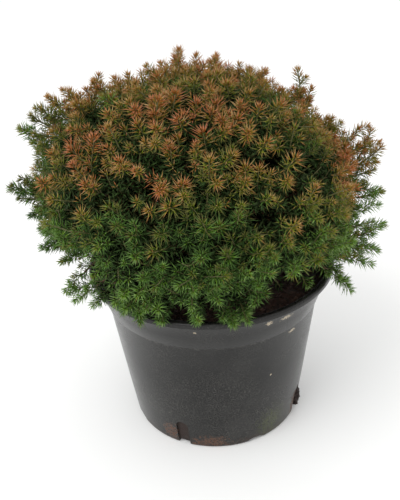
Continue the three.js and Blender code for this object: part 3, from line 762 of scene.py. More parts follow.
# The solids draw this many numbers for the core of a mass before those for its shoots
CORE_DRAWS = 42
SHOOTS_TRIED = 10
SHOOT_SPREAD = 25
SHOOT_JITTER = 2
SHOOT_SHORTEST = 0.955
SHOOT_LOWEST = -19
LEADER_CLEARANCE = 9
GOLDEN_ANGLE = math.pi * (3 - math.sqrt(5))
STEM_START = 56
SPRIGS = 4
SPRIG_SPREAD = 7.8
INNER_SHOOTS = 5
HEART_TWIGS = 22
SPRAYS_TRIED = 3200
LEAST_ROOM = 4.5
MOST_ROOM = 8.8
TIP_ROOM = 5.0
ARM_ROOT = 9
# The radius of each kind of shoot at its foot and at its tip
BRANCHLET = (1.5, 0.4)
SPRIG = (0.85, 0.4)
SIDE_SHOOT = (0.55, 0.3)
INNER_SHOOT = (0.6, 0.35)
HEART_TWIG = (0.8, 0.4)
PLUME = (1.0, 0.5)
WOODY_THICKNESS = 1.2
WOODY_STEPS = 16
ROOM_ROUND_SHOOT = 3.0
FEWEST_POINTS = 5
INSIDE_LIMIT = 6
HEART_LIMIT = 10
LEADING_LIMIT = 5
PLUME_LIMIT = 200
TRIES_TO_FIT = 6
SHORTER_TRY = 0.84
SPRIG_FORK = 0.76
SPRIG_FORK_SPAN = 0.4
SPRIG_WANDER = 0.26
SPRIG_SAG = 0.34
BRANCHLET_MATCH = 4.5
SPRIG_MATCH = 3.6
SPRAY_UNEVENNESS = 2.4
SPRIG_UNEVENNESS = 2.0
UNDERSIDE_REACH = 74
UNDERSIDE_BLEND = 7
WALL_INNER = 87
# How much shorter a shoot stays: near a tip, right beside it more, and where it faces the front
TIP_LOSS = 3
BESIDE_LOSS = 11
FRONT_LOSS = 10
FACES_FRONT = -0.12
# The bronze that comes with height: its least amount, its gain, and from which elevation to which
BRONZE_LEAST = -0.17
BRONZE_GAIN = 0.77
BRONZE_SPAN = (-8, 54)
# How side shoots stand on a leading shoot, and on any other: the first one's place, the part of
# the shoot that they take up, their share of what is left of it, their least length, needle gap
ON_LEADING = (0.2, 0.58, 0.22, 3.5, 0.88)
ON_OTHERS = (0.22, 0.4, 0.35, 5, 1.0)


def number_stream(seed):
    """A repeatable stream of numbers from 0 to 1."""
    state = seed & 0xFFFFFFFF
    while True:
        state = (state + 0x6D2B79F5) & 0xFFFFFFFF
        mixed = ((state ^ (state >> 15)) * (1 | state)) & 0xFFFFFFFF
        mixed = ((mixed + (((mixed ^ (mixed >> 7)) * (61 | mixed)) & 0xFFFFFFFF)) ^ mixed) & 0xFFFFFFFF
        yield (mixed ^ (mixed >> 14)) / 4294967296


def smooth_share(value, low, high):
    """How far a value lies between two others, from 0 to 1, with soft ends."""
    share = min(max((value - low) / (high - low), 0), 1)
    return share * share * (3 - 2 * share)


def elevation_of(direction):
    """How high a direction points, in degrees."""
    return math.degrees(math.asin(max(-1, min(1, direction[2]))))


def angle_between(a, b):
    """The angle between two directions, in degrees."""
    return math.degrees(math.acos(max(-1, min(1, float(a @ b)))))


# Dark hollows between the clusters, at the sides, back and top: azimuth, elevation, depth, spread
HOLLOWS = [(-10, 60, 10, 3), (130, 40, 13, 3), (95, 25, 14, 3.5), (60, 45, 13, 3), (75, 10, 14, 3.5),
           (120, 10, 14, 3.5), (150, 5, 13, 3.5), (40, 15, 13, 3.5), (10, 5, 12, 3), (170, 55, 12, 3),
           (100, 45, 12, 3), (50, -5, 13, 4), (105, -8, 13, 4), (20, -8, 12, 3.5), (155, -12, 12, 3.5),
           (0, 78, 12, 3)]
# How low the crown hangs round the pot: azimuth, lowest elevation
SKIRT = [(-180, -14), (-162, -13), (-150, 2), (-138, 7), (-129, 0), (-122, -11), (-114, -16), (-106, -14),
         (-101, -5), (-97, -8), (-93, -15), (-89, -12), (-85, -5), (-80, -10), (-75, -12), (-70, -4),
         (-64, -2), (-56, 1), (-46, 3), (-38, 0), (-30, -9), (-15, -17), (10, -15), (60, -14), (120, -14),
         (180, -14)]
OUTLINE_INSET = 4
# Where the winter has bronzed the shoots, or left them green: azimuth, elevation, amount, spread
BRONZED = [(-115, 62, 0.22, 8), (-125, 57, 0.2, 8), (-147, 43, 0.38, 10), (-100, 40, 0.36, 9),
           (-95, 61, 0.32, 11), (-78, 57, 0.25, 8), (-105, 34, 0.16, 6), (-140, 29, 0.32, 8),
           (-128, 28, 0.28, 7), (-124, 40, 0.16, 7), (-72, 35, 0.18, 6), (-55, 35, 0.24, 6),
           (-42, 21, 0.34, 9), (-66, 20, 0.3, 6), (-76, 13, 0.3, 6), (-54, 4, 0.3, 8), (-88, 26, 0.12, 8),
           (-17, 26, 0.65, 11), (-27, 20, 0.3, 9), (-176, 32, -0.36, 8), (-40, 37, -0.28, 7),
           (-112, 46, -0.3, 4), (-160, 52, -0.2, 8), (-141, 62, -0.2, 6), (-105, 80, -0.2, 5),
           (-170, 58, -0.15, 9)]
# Where the green shoots are lighter or darker, in the same way: partly younger and older growth, partly
# painted light and painted shade
YOUTH_AND_LIGHTING = [(-42, -2, 1.1, 17), (-26, 8, 0.9, 15), (-100, 16, -0.5, 14), (-80, 20, -0.4, 10),
             (-168, 8, -0.8, 12), (-120, -6, 0.3, 14), (-25, -14, 0.3, 12), (-80, -14, 0.1, 10),
             (-100, 44, -0.3, 8), (-40, 40, -0.3, 8)]


def pointed(rows):
    """Rows with a direction in place of their azimuth and elevation."""
    return [(pointing(azimuth, elevation), *rest) for azimuth, elevation, *rest in rows]


SWELL_ZONES = pointed(SWELLS)
LEADER_WAYS = pointed(LEADERS)
BRONZED_ZONES = pointed(BRONZED)
YOUTH_AND_LIGHTING_ZONES = pointed(YOUTH_AND_LIGHTING)
HOLLOW_WAYS = np.array([way for way, depth, spread in pointed(HOLLOWS)])
HOLLOW_DEPTHS, HOLLOW_SPREADS = np.array(HOLLOWS, float).T[2:]
SKIRT_AZIMUTHS, SKIRT_ELEVATIONS = np.array(SKIRT, float).T
FRONT_LINE = HEART - np.array(camera.matrix_world.translation) / MM
FRONT_AWAY = np.linalg.norm(FRONT_LINE)
FRONT_LINE = FRONT_LINE / FRONT_AWAY
FRONT_ACROSS = straightened(np.cross(FRONT_LINE, UP))
FRONT_UP = np.cross(FRONT_ACROSS, FRONT_LINE)


def with_zones(value, zones, direction):
    """A value with what the zones near a direction add to it or take off."""
    for centre, amount, spread in zones:
        value += amount * math.exp(-(angle_between(centre, direction) / spread) ** 2)
    return value


def crown_reach(direction):
    """How far the crown's outline lies from the heart in a direction."""
    start = (HEART - CROWN_CENTRE) / CROWN_RADII
    step = direction / CROWN_RADII
    a, b, c = step @ step, 2 * start @ step, start @ start - 1
    reach = (-b + math.sqrt(b * b - 4 * a * c)) / (2 * a)
    reach += SKIRT_RISE * smooth_share(-elevation_of(direction), 0, SKIRT_FULL)
    return with_zones(reach, SWELL_ZONES, direction)


def edge_reach(angle):
    """How far the crown's edge lies from the heart at an angle round it, seen from the front."""
    if not EDGE_FIRST < angle < EDGE_LAST:
        return EDGE_FREE
    return EDGE_REACH + sum(rise * math.exp(-((angle - at) / spread) ** 2)
                            for at, rise, spread in EDGE_SWELLS)


def body_reach(direction):
    """How far the crown's body spreads: its rounded outline, within the edge that the front shows."""
    away = direction @ FRONT_LINE
    aside = math.sqrt(max(1 - away * away, 0))
    angle = math.degrees(math.atan2(direction @ FRONT_UP, direction @ FRONT_ACROSS))
    edge = edge_reach(angle + 360 if angle < -90 else angle) / FRONT_AWAY
    slope = edge / math.sqrt(1 - edge * edge)
    reach = crown_reach(direction)
    if aside > slope * away:
        reach = min(reach, slope * FRONT_AWAY / (aside - slope * away))
    return reach


def lowest_at(direction):
    """The lowest elevation that the crown has in the azimuth of a direction."""
    azimuth = math.degrees(math.atan2(direction[1], direction[0]))
    return float(np.interp(azimuth, SKIRT_AZIMUTHS, SKIRT_ELEVATIONS))


def leaf_reach(direction):
    """How far the leafy outline lies from the heart, with its hollows and its open underside."""
    away = np.degrees(np.arccos(np.clip(HOLLOW_WAYS @ direction, -1, 1))) / HOLLOW_SPREADS
    reach = body_reach(direction) - OUTLINE_INSET - float((HOLLOW_DEPTHS * np.exp(-away ** 2)).sum())
    below = lowest_at(direction) - elevation_of(direction)
    return reach - (reach - UNDERSIDE_REACH) * smooth_share(below, 0, UNDERSIDE_BLEND)


def bronze_at(direction):
    """How far the winter has turned the shoots that point in a direction, from 0 to about 1."""
    bronze = BRONZE_LEAST + BRONZE_GAIN * smooth_share(elevation_of(direction), *BRONZE_SPAN)
    return with_zones(bronze, BRONZED_ZONES, direction)


def youth_and_lighting_at(direction, rng):
    """How light the green of a shoot is, from about 0 to 1: its youth at random, with the zones' painted
    light and painted shade.
    """
    zones = with_zones(0, YOUTH_AND_LIGHTING_ZONES, direction)
    return rng.uniform(0.1, 0.9) + zones


def sideways(axis):
    """Two directions square to an axis and to each other."""
    level = np.array((1.0, 0.0, 0.0)) if abs(axis[2]) > 0.9 else UP
    side = straightened(np.cross(level, axis))
    return side, np.cross(axis, side)


def branchlets(index):
    """The tips of a mass's branchlets: its leading shoots, then a spiral round its axis."""
    axis = masses[index][1]
    numbers = number_stream(SEED + 31 * (index + 1))
    for draw in range(CORE_DRAWS):
        next(numbers)
    leading = []
    for direction, reach in LEADER_WAYS:
        if np.argmax([row[1] @ direction for row in masses]) == index:
            leading.append((direction, reach))
    out = [(direction, reach, True) for direction, reach in leading]
    side, other = sideways(axis)
    phase = 2 * math.pi * next(numbers)
    for k in range(SHOOTS_TRIED):
        lean = SHOOT_SPREAD * math.sqrt((k + 0.5) / SHOOTS_TRIED) + SHOOT_JITTER * (next(numbers) - 0.5)
        angle = phase + k * GOLDEN_ANGLE
        shorter = 1 - (1 - SHOOT_SHORTEST) * next(numbers)
        tilt = math.tan(math.radians(lean))
        direction = straightened(axis + side * tilt * math.cos(angle) + other * tilt * math.sin(angle))
        near = any(angle_between(direction, lead) < LEADER_CLEARANCE for lead, reach in leading)
        if not near and elevation_of(direction) > SHOOT_LOWEST:
            out.append((direction, crown_reach(direction) * shorter, False))
    return out


def kept_clear(points, room):
    """How many of a shoot's points, from its foot, stay clear of the pot and compost."""
    radius = np.hypot(points[:, 0], points[:, 1])
    height = points[:, 2]
    in_wall = (height < POT_HEIGHT + room) & (radius > WALL_INNER - room) & (radius < RIM_RADIUS + room)
    in_compost = (height < COMPOST_LEVEL + COMPOST_ROUGHNESS + room) & (radius < RIM_RADIUS)
    under_rim = (height < POT_HEIGHT) & (radius < RIM_RADIUS + room)
    bad = in_wall | in_compost | under_rim
    return int(np.argmax(bad)) if bad.any() else len(points)


shoots = []
branches = []
tip_ways = np.zeros((SPRAYS_TRIED + 1, 3))
tip_ways[0] = -UP
tip_count = 1


def nearest_tip(way):
    """How far off, in degrees, the nearest shoot that reaches the light is."""
    return math.degrees(math.acos(min(1, float((tip_ways[:tip_count] @ way).max()))))


def shortfall(way):
    """How much shorter a shoot stays near one that reaches the light, and at the front."""
    near = nearest_tip(way)
    if near < TIP_ROOM:
        return TIP_LOSS + BESIDE_LOSS * (1 - near / TIP_ROOM)
    return FRONT_LOSS if way @ FRONT_LINE < FACES_FRONT else 0


# The sprays that reach the light stand all over the crown, here crowded and there apart
rng = np.random.default_rng(SEED + 402)
for tried in range(SPRAYS_TRIED):
    way = straightened(rng.normal(0, 1, 3))
    if elevation_of(way) > lowest_at(way) + 1 and nearest_tip(way) > rng.uniform(LEAST_ROOM, MOST_ROOM):
        tip_ways[tip_count] = way
        tip_count += 1
spray_ways = tip_ways[1:tip_count].copy()
spray_left = np.ones(len(spray_ways), bool)


def taken_spray(way, room):
    """The nearest of the crown's sprays that no shoot has grown to yet, if one is near enough."""
    nearness = np.where(spray_left, spray_ways @ way, -1)
    k = int(np.argmax(nearness))
    if nearness[k] < math.cos(math.radians(room)):
        return None
    spray_left[k] = False
    return spray_ways[k]


def add_shoot(line, thick, thin, needles_from, vigour, bronze, fresh, phase, close=1.0):
    """Notes a shoot, cut back where it would touch the pot, unless too little of it is left."""
    count = kept_clear(line, ROOM_ROUND_SHOOT)
    if count < FEWEST_POINTS:
        return False
    shoots.append((line[:count], thick, thin, needles_from, vigour, bronze, fresh, phase, close))
    return True


def side_shoot(start, heading, length, rise, limit, steps):
    """The line of a side shoot that bends outwards and up, kept within the crown's outline."""
    outward = straightened(start - HEART)
    for tried in range(TRIES_TO_FIT):
        t = np.linspace(0, 1, steps + 1)[:, None]
        bow = straightened(outward * 0.85 + UP * 0.3) * rise
        line = start + length * ((1 - rise * t) * heading * t + bow * t ** 2)
        arm = line[-1] - HEART
        reach = np.linalg.norm(arm)
        if reach < limit(arm / reach):
            return line
        length *= SHORTER_TRY
    return None


def headed(line, k, rng, least, most, angle):
    """A heading that leans off a line at one of its points."""
    along = straightened(line[min(k + 1, len(line) - 1)] - line[max(k - 1, 0)])
    side, other = sideways(along)
    lean = math.radians(rng.uniform(least, most))
    return math.cos(lean) * along + math.sin(lean) * (side * math.cos(angle) + other * math.sin(angle))


def clothed(line, leads, spacing, bronze, fresh, limit, rng):
    """Gives a shoot its own short side shoots, in a spiral, below those that reach the light."""
    first, taken, part, least, close = ON_LEADING if leads else ON_OTHERS
    length = np.linalg.norm(np.diff(line, axis=0), axis=1).sum()
    last = len(line) - 1
    count = max(2, int(round(length / spacing)))
    phase = rng.uniform(0, 2 * math.pi)
    for m in range(count):
        share = first + taken * (m + rng.uniform(0.2, 0.8)) / count
        k = int(round(share * last))
        heading = headed(line, k, rng, 38, 56, phase + m * GOLDEN_ANGLE)
        size = ((1 - share) * length * part + least) * rng.uniform(0.85, 1.2)
        twig = side_shoot(line[k], heading, size, 0.4, limit, 5)
        if twig is not None:
            vigour = rng.uniform(0.8, 0.98)
            turned_by = bronze + rng.normal(0, 0.1)
            add_shoot(twig, *SIDE_SHOOT, 0.12, vigour, turned_by, fresh, rng.uniform(0, 6), close)


def inside_limit(way):
    """How far the side shoots of the inner branchlets and sprigs may reach."""
    return leaf_reach(way) - INSIDE_LIMIT


def sprig(grown, way, end, rng):
    """A sprig that leaves a branchlet and bends round to end in a direction at a reach."""
    direction, stem, inside, cluster, fresh = grown
    off = min(angle_between(way, direction), 2 * SPRIG_SPREAD)
    fork = SPRIG_FORK - SPRIG_FORK_SPAN * off / SPRIG_SPREAD + rng.uniform(-0.06, 0.06)
    share = inside * max(0.2, fork)
    at = int(round(share * 24))
    span = HEART + way * end - stem[at]
    size = np.linalg.norm(span)
    along = straightened(stem[at + 1] - stem[at])
    if size < 9 or span @ along < 4:
        return
    lateral = span - (span @ along) * along
    turning = stem[at] + 0.35 * (span @ along) * along + 0.7 * lateral
    turning = turning + rng.normal(0, SPRIG_WANDER, 3) * size
    turning -= UP * SPRIG_SAG * size * smooth_share(elevation_of(way), -12, 25)
    line = bent(stem[at], turning, stem[at] + span, 9)
    bronze = bronze_at(way) + cluster + rng.normal(0, 0.12)
    vigour = rng.uniform(0.8, 1.38) * (1 + 0.18 * smooth_share(elevation_of(way), 30, 55))
    if add_shoot(line, *SPRIG, 0.15, vigour, bronze, fresh, rng.uniform(0, 6)):
        clothed(line, False, 9, bronze, fresh, inside_limit, rng)


def grown_mass(index, wanted):
    """Grows the branchlets of one mass, each with a rounded cluster of sprigs about its tip."""
    axis = masses[index][1]
    rng = np.random.default_rng(SEED + index)
    foot = HEART + axis * STEM_START
    for direction, reach, leads, full in wanted:
        leafy = leaf_reach(direction) if full else min(reach - 2, leaf_reach(direction) - 9)
        out = reach - 3 if leads else leafy * rng.uniform(0.98, 1.01)
        tip = HEART + direction * out
        middle = foot + 0.5 * (tip - foot) + axis * rng.uniform(2, 7) + rng.normal(0, 1.6, 3)
        stem = bent(foot, middle, tip, 24)
        inside = min(1.0, (leafy - STEM_START) / (out - STEM_START))
        cluster = rng.normal(0, 0.07)
        fresh = youth_and_lighting_at(direction, rng)
        bronze = bronze_at(direction) + cluster
        vigour = rng.uniform(0.92, 1.04) if leads else rng.uniform(0.96, 1.16)
        add_shoot(stem, *BRANCHLET, 0.1 if leads else 0.3, vigour, bronze, fresh, rng.uniform(0, 6),
                  0.8 if leads else 1.0)
        if leads:
            clothed(stem[10:], True, 7, bronze, fresh, lambda way, reach=reach: reach - LEADING_LIMIT, rng)
        else:
            clothed(stem[14:], False, 9, bronze, fresh, inside_limit, rng)
        grown = (direction, stem, inside, cluster, fresh)
        branches.append(grown)
        side, other = sideways(direction)
        phase = rng.uniform(0, 2 * math.pi)
        for k in range(SPRIGS):
            off = SPRIG_SPREAD * (0.7 + 0.3 * k / SPRIGS) + rng.normal(0, 0.6)
            angle = phase + (k + rng.uniform(-0.2, 0.2)) * 2 * math.pi / SPRIGS
            tilt = math.tan(math.radians(off))
            way = straightened(direction + side * tilt * math.cos(angle) + other * tilt * math.sin(angle))
            spray = taken_spray(way, SPRIG_MATCH)
            if spray is not None:
                sprig(grown, spray, leaf_reach(spray) + rng.normal(0, SPRAY_UNEVENNESS), rng)
                continue
            end = leaf_reach(way) - shortfall(way) + rng.normal(0, SPRIG_UNEVENNESS)
            sprig(grown, way, end, rng)
        for k in range(INNER_SHOOTS):
            at = int(round(inside * (2 + 14 * (k + rng.uniform(0, 1)) / INNER_SHOOTS)))
            heading = headed(stem, at, rng, 45, 85, rng.uniform(0, 2 * math.pi))
            line = side_shoot(stem[at], heading, rng.uniform(14, 26), 0.2, inside_limit, 6)
            if line is not None:
                add_shoot(line, *INNER_SHOOT, 0.12, rng.uniform(0.9, 1.1), -0.1, 0.0, rng.uniform(0, 6))


def filled_in():
    """Grows a sprig to each spray that still has none."""
    rng = np.random.default_rng(SEED + 300)
    ways = np.array([grown[0] for grown in branches])
    for k in np.flatnonzero(spray_left):
        way = spray_ways[k]
        end = leaf_reach(way) + rng.normal(0, SPRAY_UNEVENNESS)
        sprig(branches[int(np.argmax(ways @ way))], way, end, rng)


def arm(foot, tip, rng):
    """A dense plume that stands out from the crown, with short side shoots all along it."""
    foot, tip = np.array(foot, float), np.array(tip, float)
    foot -= straightened(tip - foot) * ARM_ROOT
    span = tip - foot
    size = np.linalg.norm(span)
    middle = foot + 0.5 * span - UP * 0.06 * size + rng.normal(0, 0.05, 3) * size
    line = bent(foot, middle, tip - straightened(span) * 4, 14)
    direction = straightened(tip - HEART)
    bronze, fresh = bronze_at(direction) + rng.normal(0, 0.06), youth_and_lighting_at(direction, rng)
    if add_shoot(line, *PLUME, 0.0, rng.uniform(0.88, 1.05), bronze, fresh, rng.uniform(0, 6), 0.8):
        clothed(line, True, 12, bronze, fresh, lambda way: PLUME_LIMIT, rng)


def heart_limit(way):
    """How far the old twigs in the bush's middle may reach."""
    return leaf_reach(way) - HEART_LIMIT


def heart_twigs(index):
    """Short old twigs round a bough, with the needles that fill the bush's middle: dead brown ones and
    greens, both darkened by depth as painted shade.
    """
    axis = masses[index][1]
    rng = np.random.default_rng(SEED + 100 + index)
    side, other = sideways(axis)
    for k in range(HEART_TWIGS):
        angle, lean = rng.uniform(0, 2 * math.pi), math.radians(rng.uniform(25, 80))
        sway = side * math.cos(angle) + other * math.sin(angle)
        start = HEART + straightened(axis + sway * rng.uniform(0, 0.4)) * rng.uniform(14, 72)
        heading = straightened(math.cos(lean) * axis + math.sin(lean) * sway)
        line = side_shoot(start, heading, rng.uniform(20, 30), 0.1, heart_limit, 6)
        if line is not None:
            add_shoot(line, *HEART_TWIG, 0.1, rng.uniform(1.0, 1.2), 0.0, 0.0, rng.uniform(0, 6))


all_wanted = []
for index in range(len(masses)):
    wanted = []
    for direction, reach, leads in branchlets(index):
        spray = None if leads else taken_spray(direction, BRANCHLET_MATCH)
        if spray is not None:
            wanted.append((spray, reach, False, True))
        else:
            wanted.append((direction, reach, leads, leads))
    all_wanted.append(wanted)
for index, wanted in enumerate(all_wanted):
    grown_mass(index, wanted)
    heart_twigs(index)
filled_in()
rng = np.random.default_rng(SEED + 200)
for foot, tip in ARMS:
    arm(foot, tip, rng)


def skeleton(name, lines, values):
    """A mesh of bare lines, with named values on its points."""
    counts = np.array([len(line) for line in lines])
    starts = np.concatenate([[0], np.cumsum(counts)[:-1]])
    points = np.concatenate(lines) * MM
    edges = np.concatenate([np.stack([np.arange(s, s + c - 1), np.arange(s + 1, s + c)], 1)
                            for s, c in zip(starts, counts)])
    mesh = bpy.data.meshes.new(name)
    mesh.vertices.add(len(points))
    mesh.vertices.foreach_set("co", points.astype(np.float32).ravel())
    mesh.edges.add(len(edges))
    mesh.edges.foreach_set("vertices", edges.astype(np.int32).ravel())
    for key, kind, data in values:
        attribute = mesh.attributes.new(key, kind, "POINT")
        data = np.concatenate(data).astype(np.int32 if kind == "INT" else np.float32)
        attribute.data.foreach_set("value", data)
    mesh.update()
    return put_in(name, mesh)


def noted(tree, name, kind="FLOAT"):
    """A named value of the points."""
    return node(tree, "GeometryNodeInputNamedAttribute", {0: name}, data_type=kind).outputs[0]


def twig_tree():
    """Lines of a given age made into thin round twigs."""
    tree, given, names = set_up("twigs", [("Age", "Int"), ("Sides", "Int"), ("Finish", "Material")])
    wanted = compared(tree, "EQUAL", noted(tree, "age", "INT"), given["Age"], "INT")
    curve = node(tree, "GeometryNodeMeshToCurve", {0: given["Geometry"], 1: wanted}).outputs[0]
    ring = node(tree, "GeometryNodeCurvePrimitiveCircle", {0: given["Sides"], 4: 1.0}).outputs[0]
    inputs = {0: curve, 1: ring, 2: noted(tree, "thickness"), 3: True}
    tube = node(tree, "GeometryNodeCurveToMesh", inputs).outputs[0]
    node(tree, "NodeGroupOutput", {0: dressed(tree, tube, given["Finish"])})
    return tree, names


lines, thickness, ages = [], [], []
for line, thick, thin, *rest in shoots:
    breadth = np.linspace(thick, thin, len(line)) * MM
    woody = WOODY_STEPS if thick > WOODY_THICKNESS else 0
    last = len(line) - 1
    young = np.unique(np.linspace(woody, last, max(3, (last - woody) // 2 + 2)).round().astype(int))
    for age, part in ((1, np.arange(0, min(woody, last) + 1)), (0, young)):
        if len(part) > 1 and part[-1] <= last:
            lines.append(line[part])
            thickness.append(breadth[part] * (0.5 if age == 0 and woody else 1))
            ages.append(np.full(len(part), age))
frame_of_twigs = skeleton("twig_lines", lines, [
    ("thickness", "FLOAT", thickness), ("age", "INT", ages)])


def plain_finish(name, colour, roughness, shine=0.5):
    """A material of one even colour."""
    material = bpy.data.materials.new(name)
    material.use_nodes = True
    inputs = material.node_tree.nodes["Principled BSDF"].inputs
    inputs["Base Color"].default_value = colour
    inputs["Roughness"].default_value = roughness
    inputs["Specular IOR Level"].default_value = shine
    return material


YOUNG_TWIG = (0.11, 0.105, 0.035, 1)
young_finish = plain_finish("young twig", YOUNG_TWIG, 0.6)
foliage_nodes = [f"foliage_{name}" for name, axis, fork in masses]
tree, names = twig_tree()
for name, age, sides, finish, slot in (("branchlets", 1, 6, bark_finish, "bark"),
                                       ("side_shoots", 0, 3, young_finish, "foliage_olive")):
    values = {"Age": age, "Sides": sides, "Finish": finish}
    piece = made_by(name, frame_of_twigs, tree, names, values)
    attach(piece, "root")
    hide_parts(*foliage_nodes)
bpy.data.objects.remove(frame_of_twigs)


# The needles: short, stiff and slightly curved in, set in a spiral all round each shoot and
# crowded at its tip. Winter turns the high shoots russet; those inside stay green, darkened as painted
# shade.
NEEDLE_LENGTH = 8
NEEDLE_WIDTH = 0.66
NEEDLE_BOW = 0.35
NEEDLE_SAG = -0.12
NEEDLE_WANDER = 0.26
NEEDLE_ROUGHNESS = 0.65
NEEDLE_SHINE = 0.13
# How much wider the needles are that only close the view into the bush, dark with painted shade
WIDENED = {"shaded_green": 3.0, "old_shaded_brown": 3.0, "dull_green": 2.0}
SPLAY_FOOT = 68
SPLAY_TIP = 24
SPLAY_RUN = 4.5
OUTER_GAP = 0.34
INNER_GAP = 2.1
TIP_CROWDING = 0.55
TIP_CROWDED = 2.5
FEWEST_NEEDLES = 4
# Colours of each kind of needle at its foot and its tip, and a finish named in the record
TINTS = [
    # The first three tints, for the needles deep in the bush, are dark as painted shade; the brown is also
    # that of dead needles.
    ("shaded_green", (0.016, 0.028, 0.008), (0.024, 0.040, 0.011), "foliage_green"),
    ("old_shaded_brown", (0.035, 0.022, 0.009), (0.05, 0.030, 0.012), "foliage_olive"),
    ("dull_green", (0.03, 0.062, 0.012), (0.034, 0.066, 0.016), "foliage_green"),
    ("deep_green", (0.042, 0.098, 0.013), (0.045, 0.092, 0.022), "foliage_green"),
    ("mid_green", (0.082, 0.18, 0.016), (0.076, 0.15, 0.032), "foliage_green"),
    ("fresh_green", (0.13, 0.255, 0.02), (0.125, 0.225, 0.052), "foliage_green"),
    ("pale_green", (0.19, 0.33, 0.025), (0.23, 0.34, 0.11), "foliage_green"),
    ("dark_olive", (0.105, 0.135, 0.013), (0.105, 0.105, 0.03), "foliage_olive"),
    ("olive", (0.19, 0.235, 0.017), (0.175, 0.17, 0.042), "foliage_olive"),
    ("khaki", (0.235, 0.235, 0.018), (0.26, 0.19, 0.055), "foliage_olive"),
    ("bronze", (0.29, 0.183, 0.018), (0.32, 0.163, 0.05), "foliage_bronze"),
    ("tawny", (0.33, 0.24, 0.026), (0.41, 0.265, 0.11), "foliage_bronze"),
    ("russet", (0.38, 0.125, 0.02), (0.35, 0.135, 0.05), "foliage_bronze"),
    ("rose_russet", (0.42, 0.12, 0.025), (0.44, 0.18, 0.09), "foliage_bronze"),
]
TINT_NUMBER = {tint[0]: i for i, tint in enumerate(TINTS)}


def stations(line, gap):
    """Places of the needles along a shoot, from its foot, closer together at its tip."""
    steps = np.linalg.norm(np.diff(line, axis=0), axis=1)
    run = np.concatenate([[0], np.cumsum(steps)])
    total = run[-1]
    at = [total]
    while at[-1] > 0:
        inside = total - at[-1]
        wider = TIP_CROWDING if inside < TIP_CROWDED else 1 + 2 * smooth_share(inside, 7, 18)
        at.append(at[-1] - gap * wider)
    at = np.array(at[::-1][1:])
    return np.stack([np.interp(at, run, line[:, i]) for i in range(3)], 1), at, total


def tint_of(rng, bronze, fresh, along, depth):
    """The tint of one needle, from its shoot's bronze, its place along it and its depth."""
    # Deep in the bush the needles take the three darkest tints, as painted shade; the brown is also the
    # colour of dead needles.
    if depth > 30:
        return "old_shaded_brown" if rng.random() < 0.4 else "shaded_green"
    if depth > 17:
        return "shaded_green" if rng.random() < 0.3 else "dull_green"
    turned_by = bronze + 0.55 * (along - 0.68) - 0.022 * max(depth - 6, 0) + rng.normal(0, 0.07)
    if turned_by > 0.86:
        return "rose_russet" if rng.random() < 0.5 else "russet"
    if turned_by > 0.7:
        return ("russet", "bronze", "bronze", "tawny")[int(rng.integers(0, 4))]
    if turned_by > 0.55:
        return "tawny" if rng.random() < 0.3 else "bronze"
    if turned_by > 0.37:
        return "khaki" if fresh > 0.4 else "olive"
    if turned_by > 0.14:
        return "olive" if fresh > 0.5 else "dark_olive"
    # The greens are lighter for young shoots and near the tip, and darker the deeper a needle lies, as
    # painted shade.
    light = 0.35 * fresh + 0.55 * along + rng.normal(0, 0.16) - 0.03 * max(depth - 7, 0)
    if light > 0.72:
        return "pale_green" if rng.random() < 0.5 else "fresh_green"
    if light > 0.5:
        return "fresh_green"
    return "mid_green" if light > 0.25 else "deep_green"


rng = np.random.default_rng(SEED)
lines, tints, splays, vigours, phases = [], [], [], [], []
for line, thick, thin, needles_from, vigour, bronze, fresh, phase, close in shoots:
    arms = line[[0, len(line) // 2, -1]] - HEART
    reaches = np.linalg.norm(arms, axis=1)
    sunk = np.array([body_reach(way / reach) - reach for way, reach in zip(arms, reaches)])
    gap = close * (OUTER_GAP + (INNER_GAP - OUTER_GAP) * smooth_share(sunk[-1], 7, 24))
    places, at, total = stations(line, gap)
    keep = at / total >= needles_from
    if keep.sum() < FEWEST_NEEDLES:
        continue
    places, at = places[keep], at[keep]
    tip_distance = total - at
    lines.append(places)
    along = np.clip(1 - tip_distance / 16, 0, 1)
    spread = np.clip(tip_distance / SPLAY_RUN, 0, 1) ** 0.7
    splays.append(np.radians(SPLAY_TIP + (SPLAY_FOOT * close ** 0.8 - SPLAY_TIP) * spread))
    vigours.append(vigour * (0.6 + 0.4 * np.clip(tip_distance / 3.5, 0, 1)))
    phases.append(np.arange(len(places)) * GOLDEN_ANGLE + phase)
    depth = np.interp(at / total, (0, 0.5, 1), sunk)
    tints.append([TINT_NUMBER[tint_of(rng, bronze, fresh, a, d)] for a, d in zip(along, depth)])
frame_of_needles = skeleton("needle_lines", lines, [
    ("tint", "INT", tints), ("splay", "FLOAT", splays), ("vigour", "FLOAT", vigours),
    ("turn", "FLOAT", phases)])


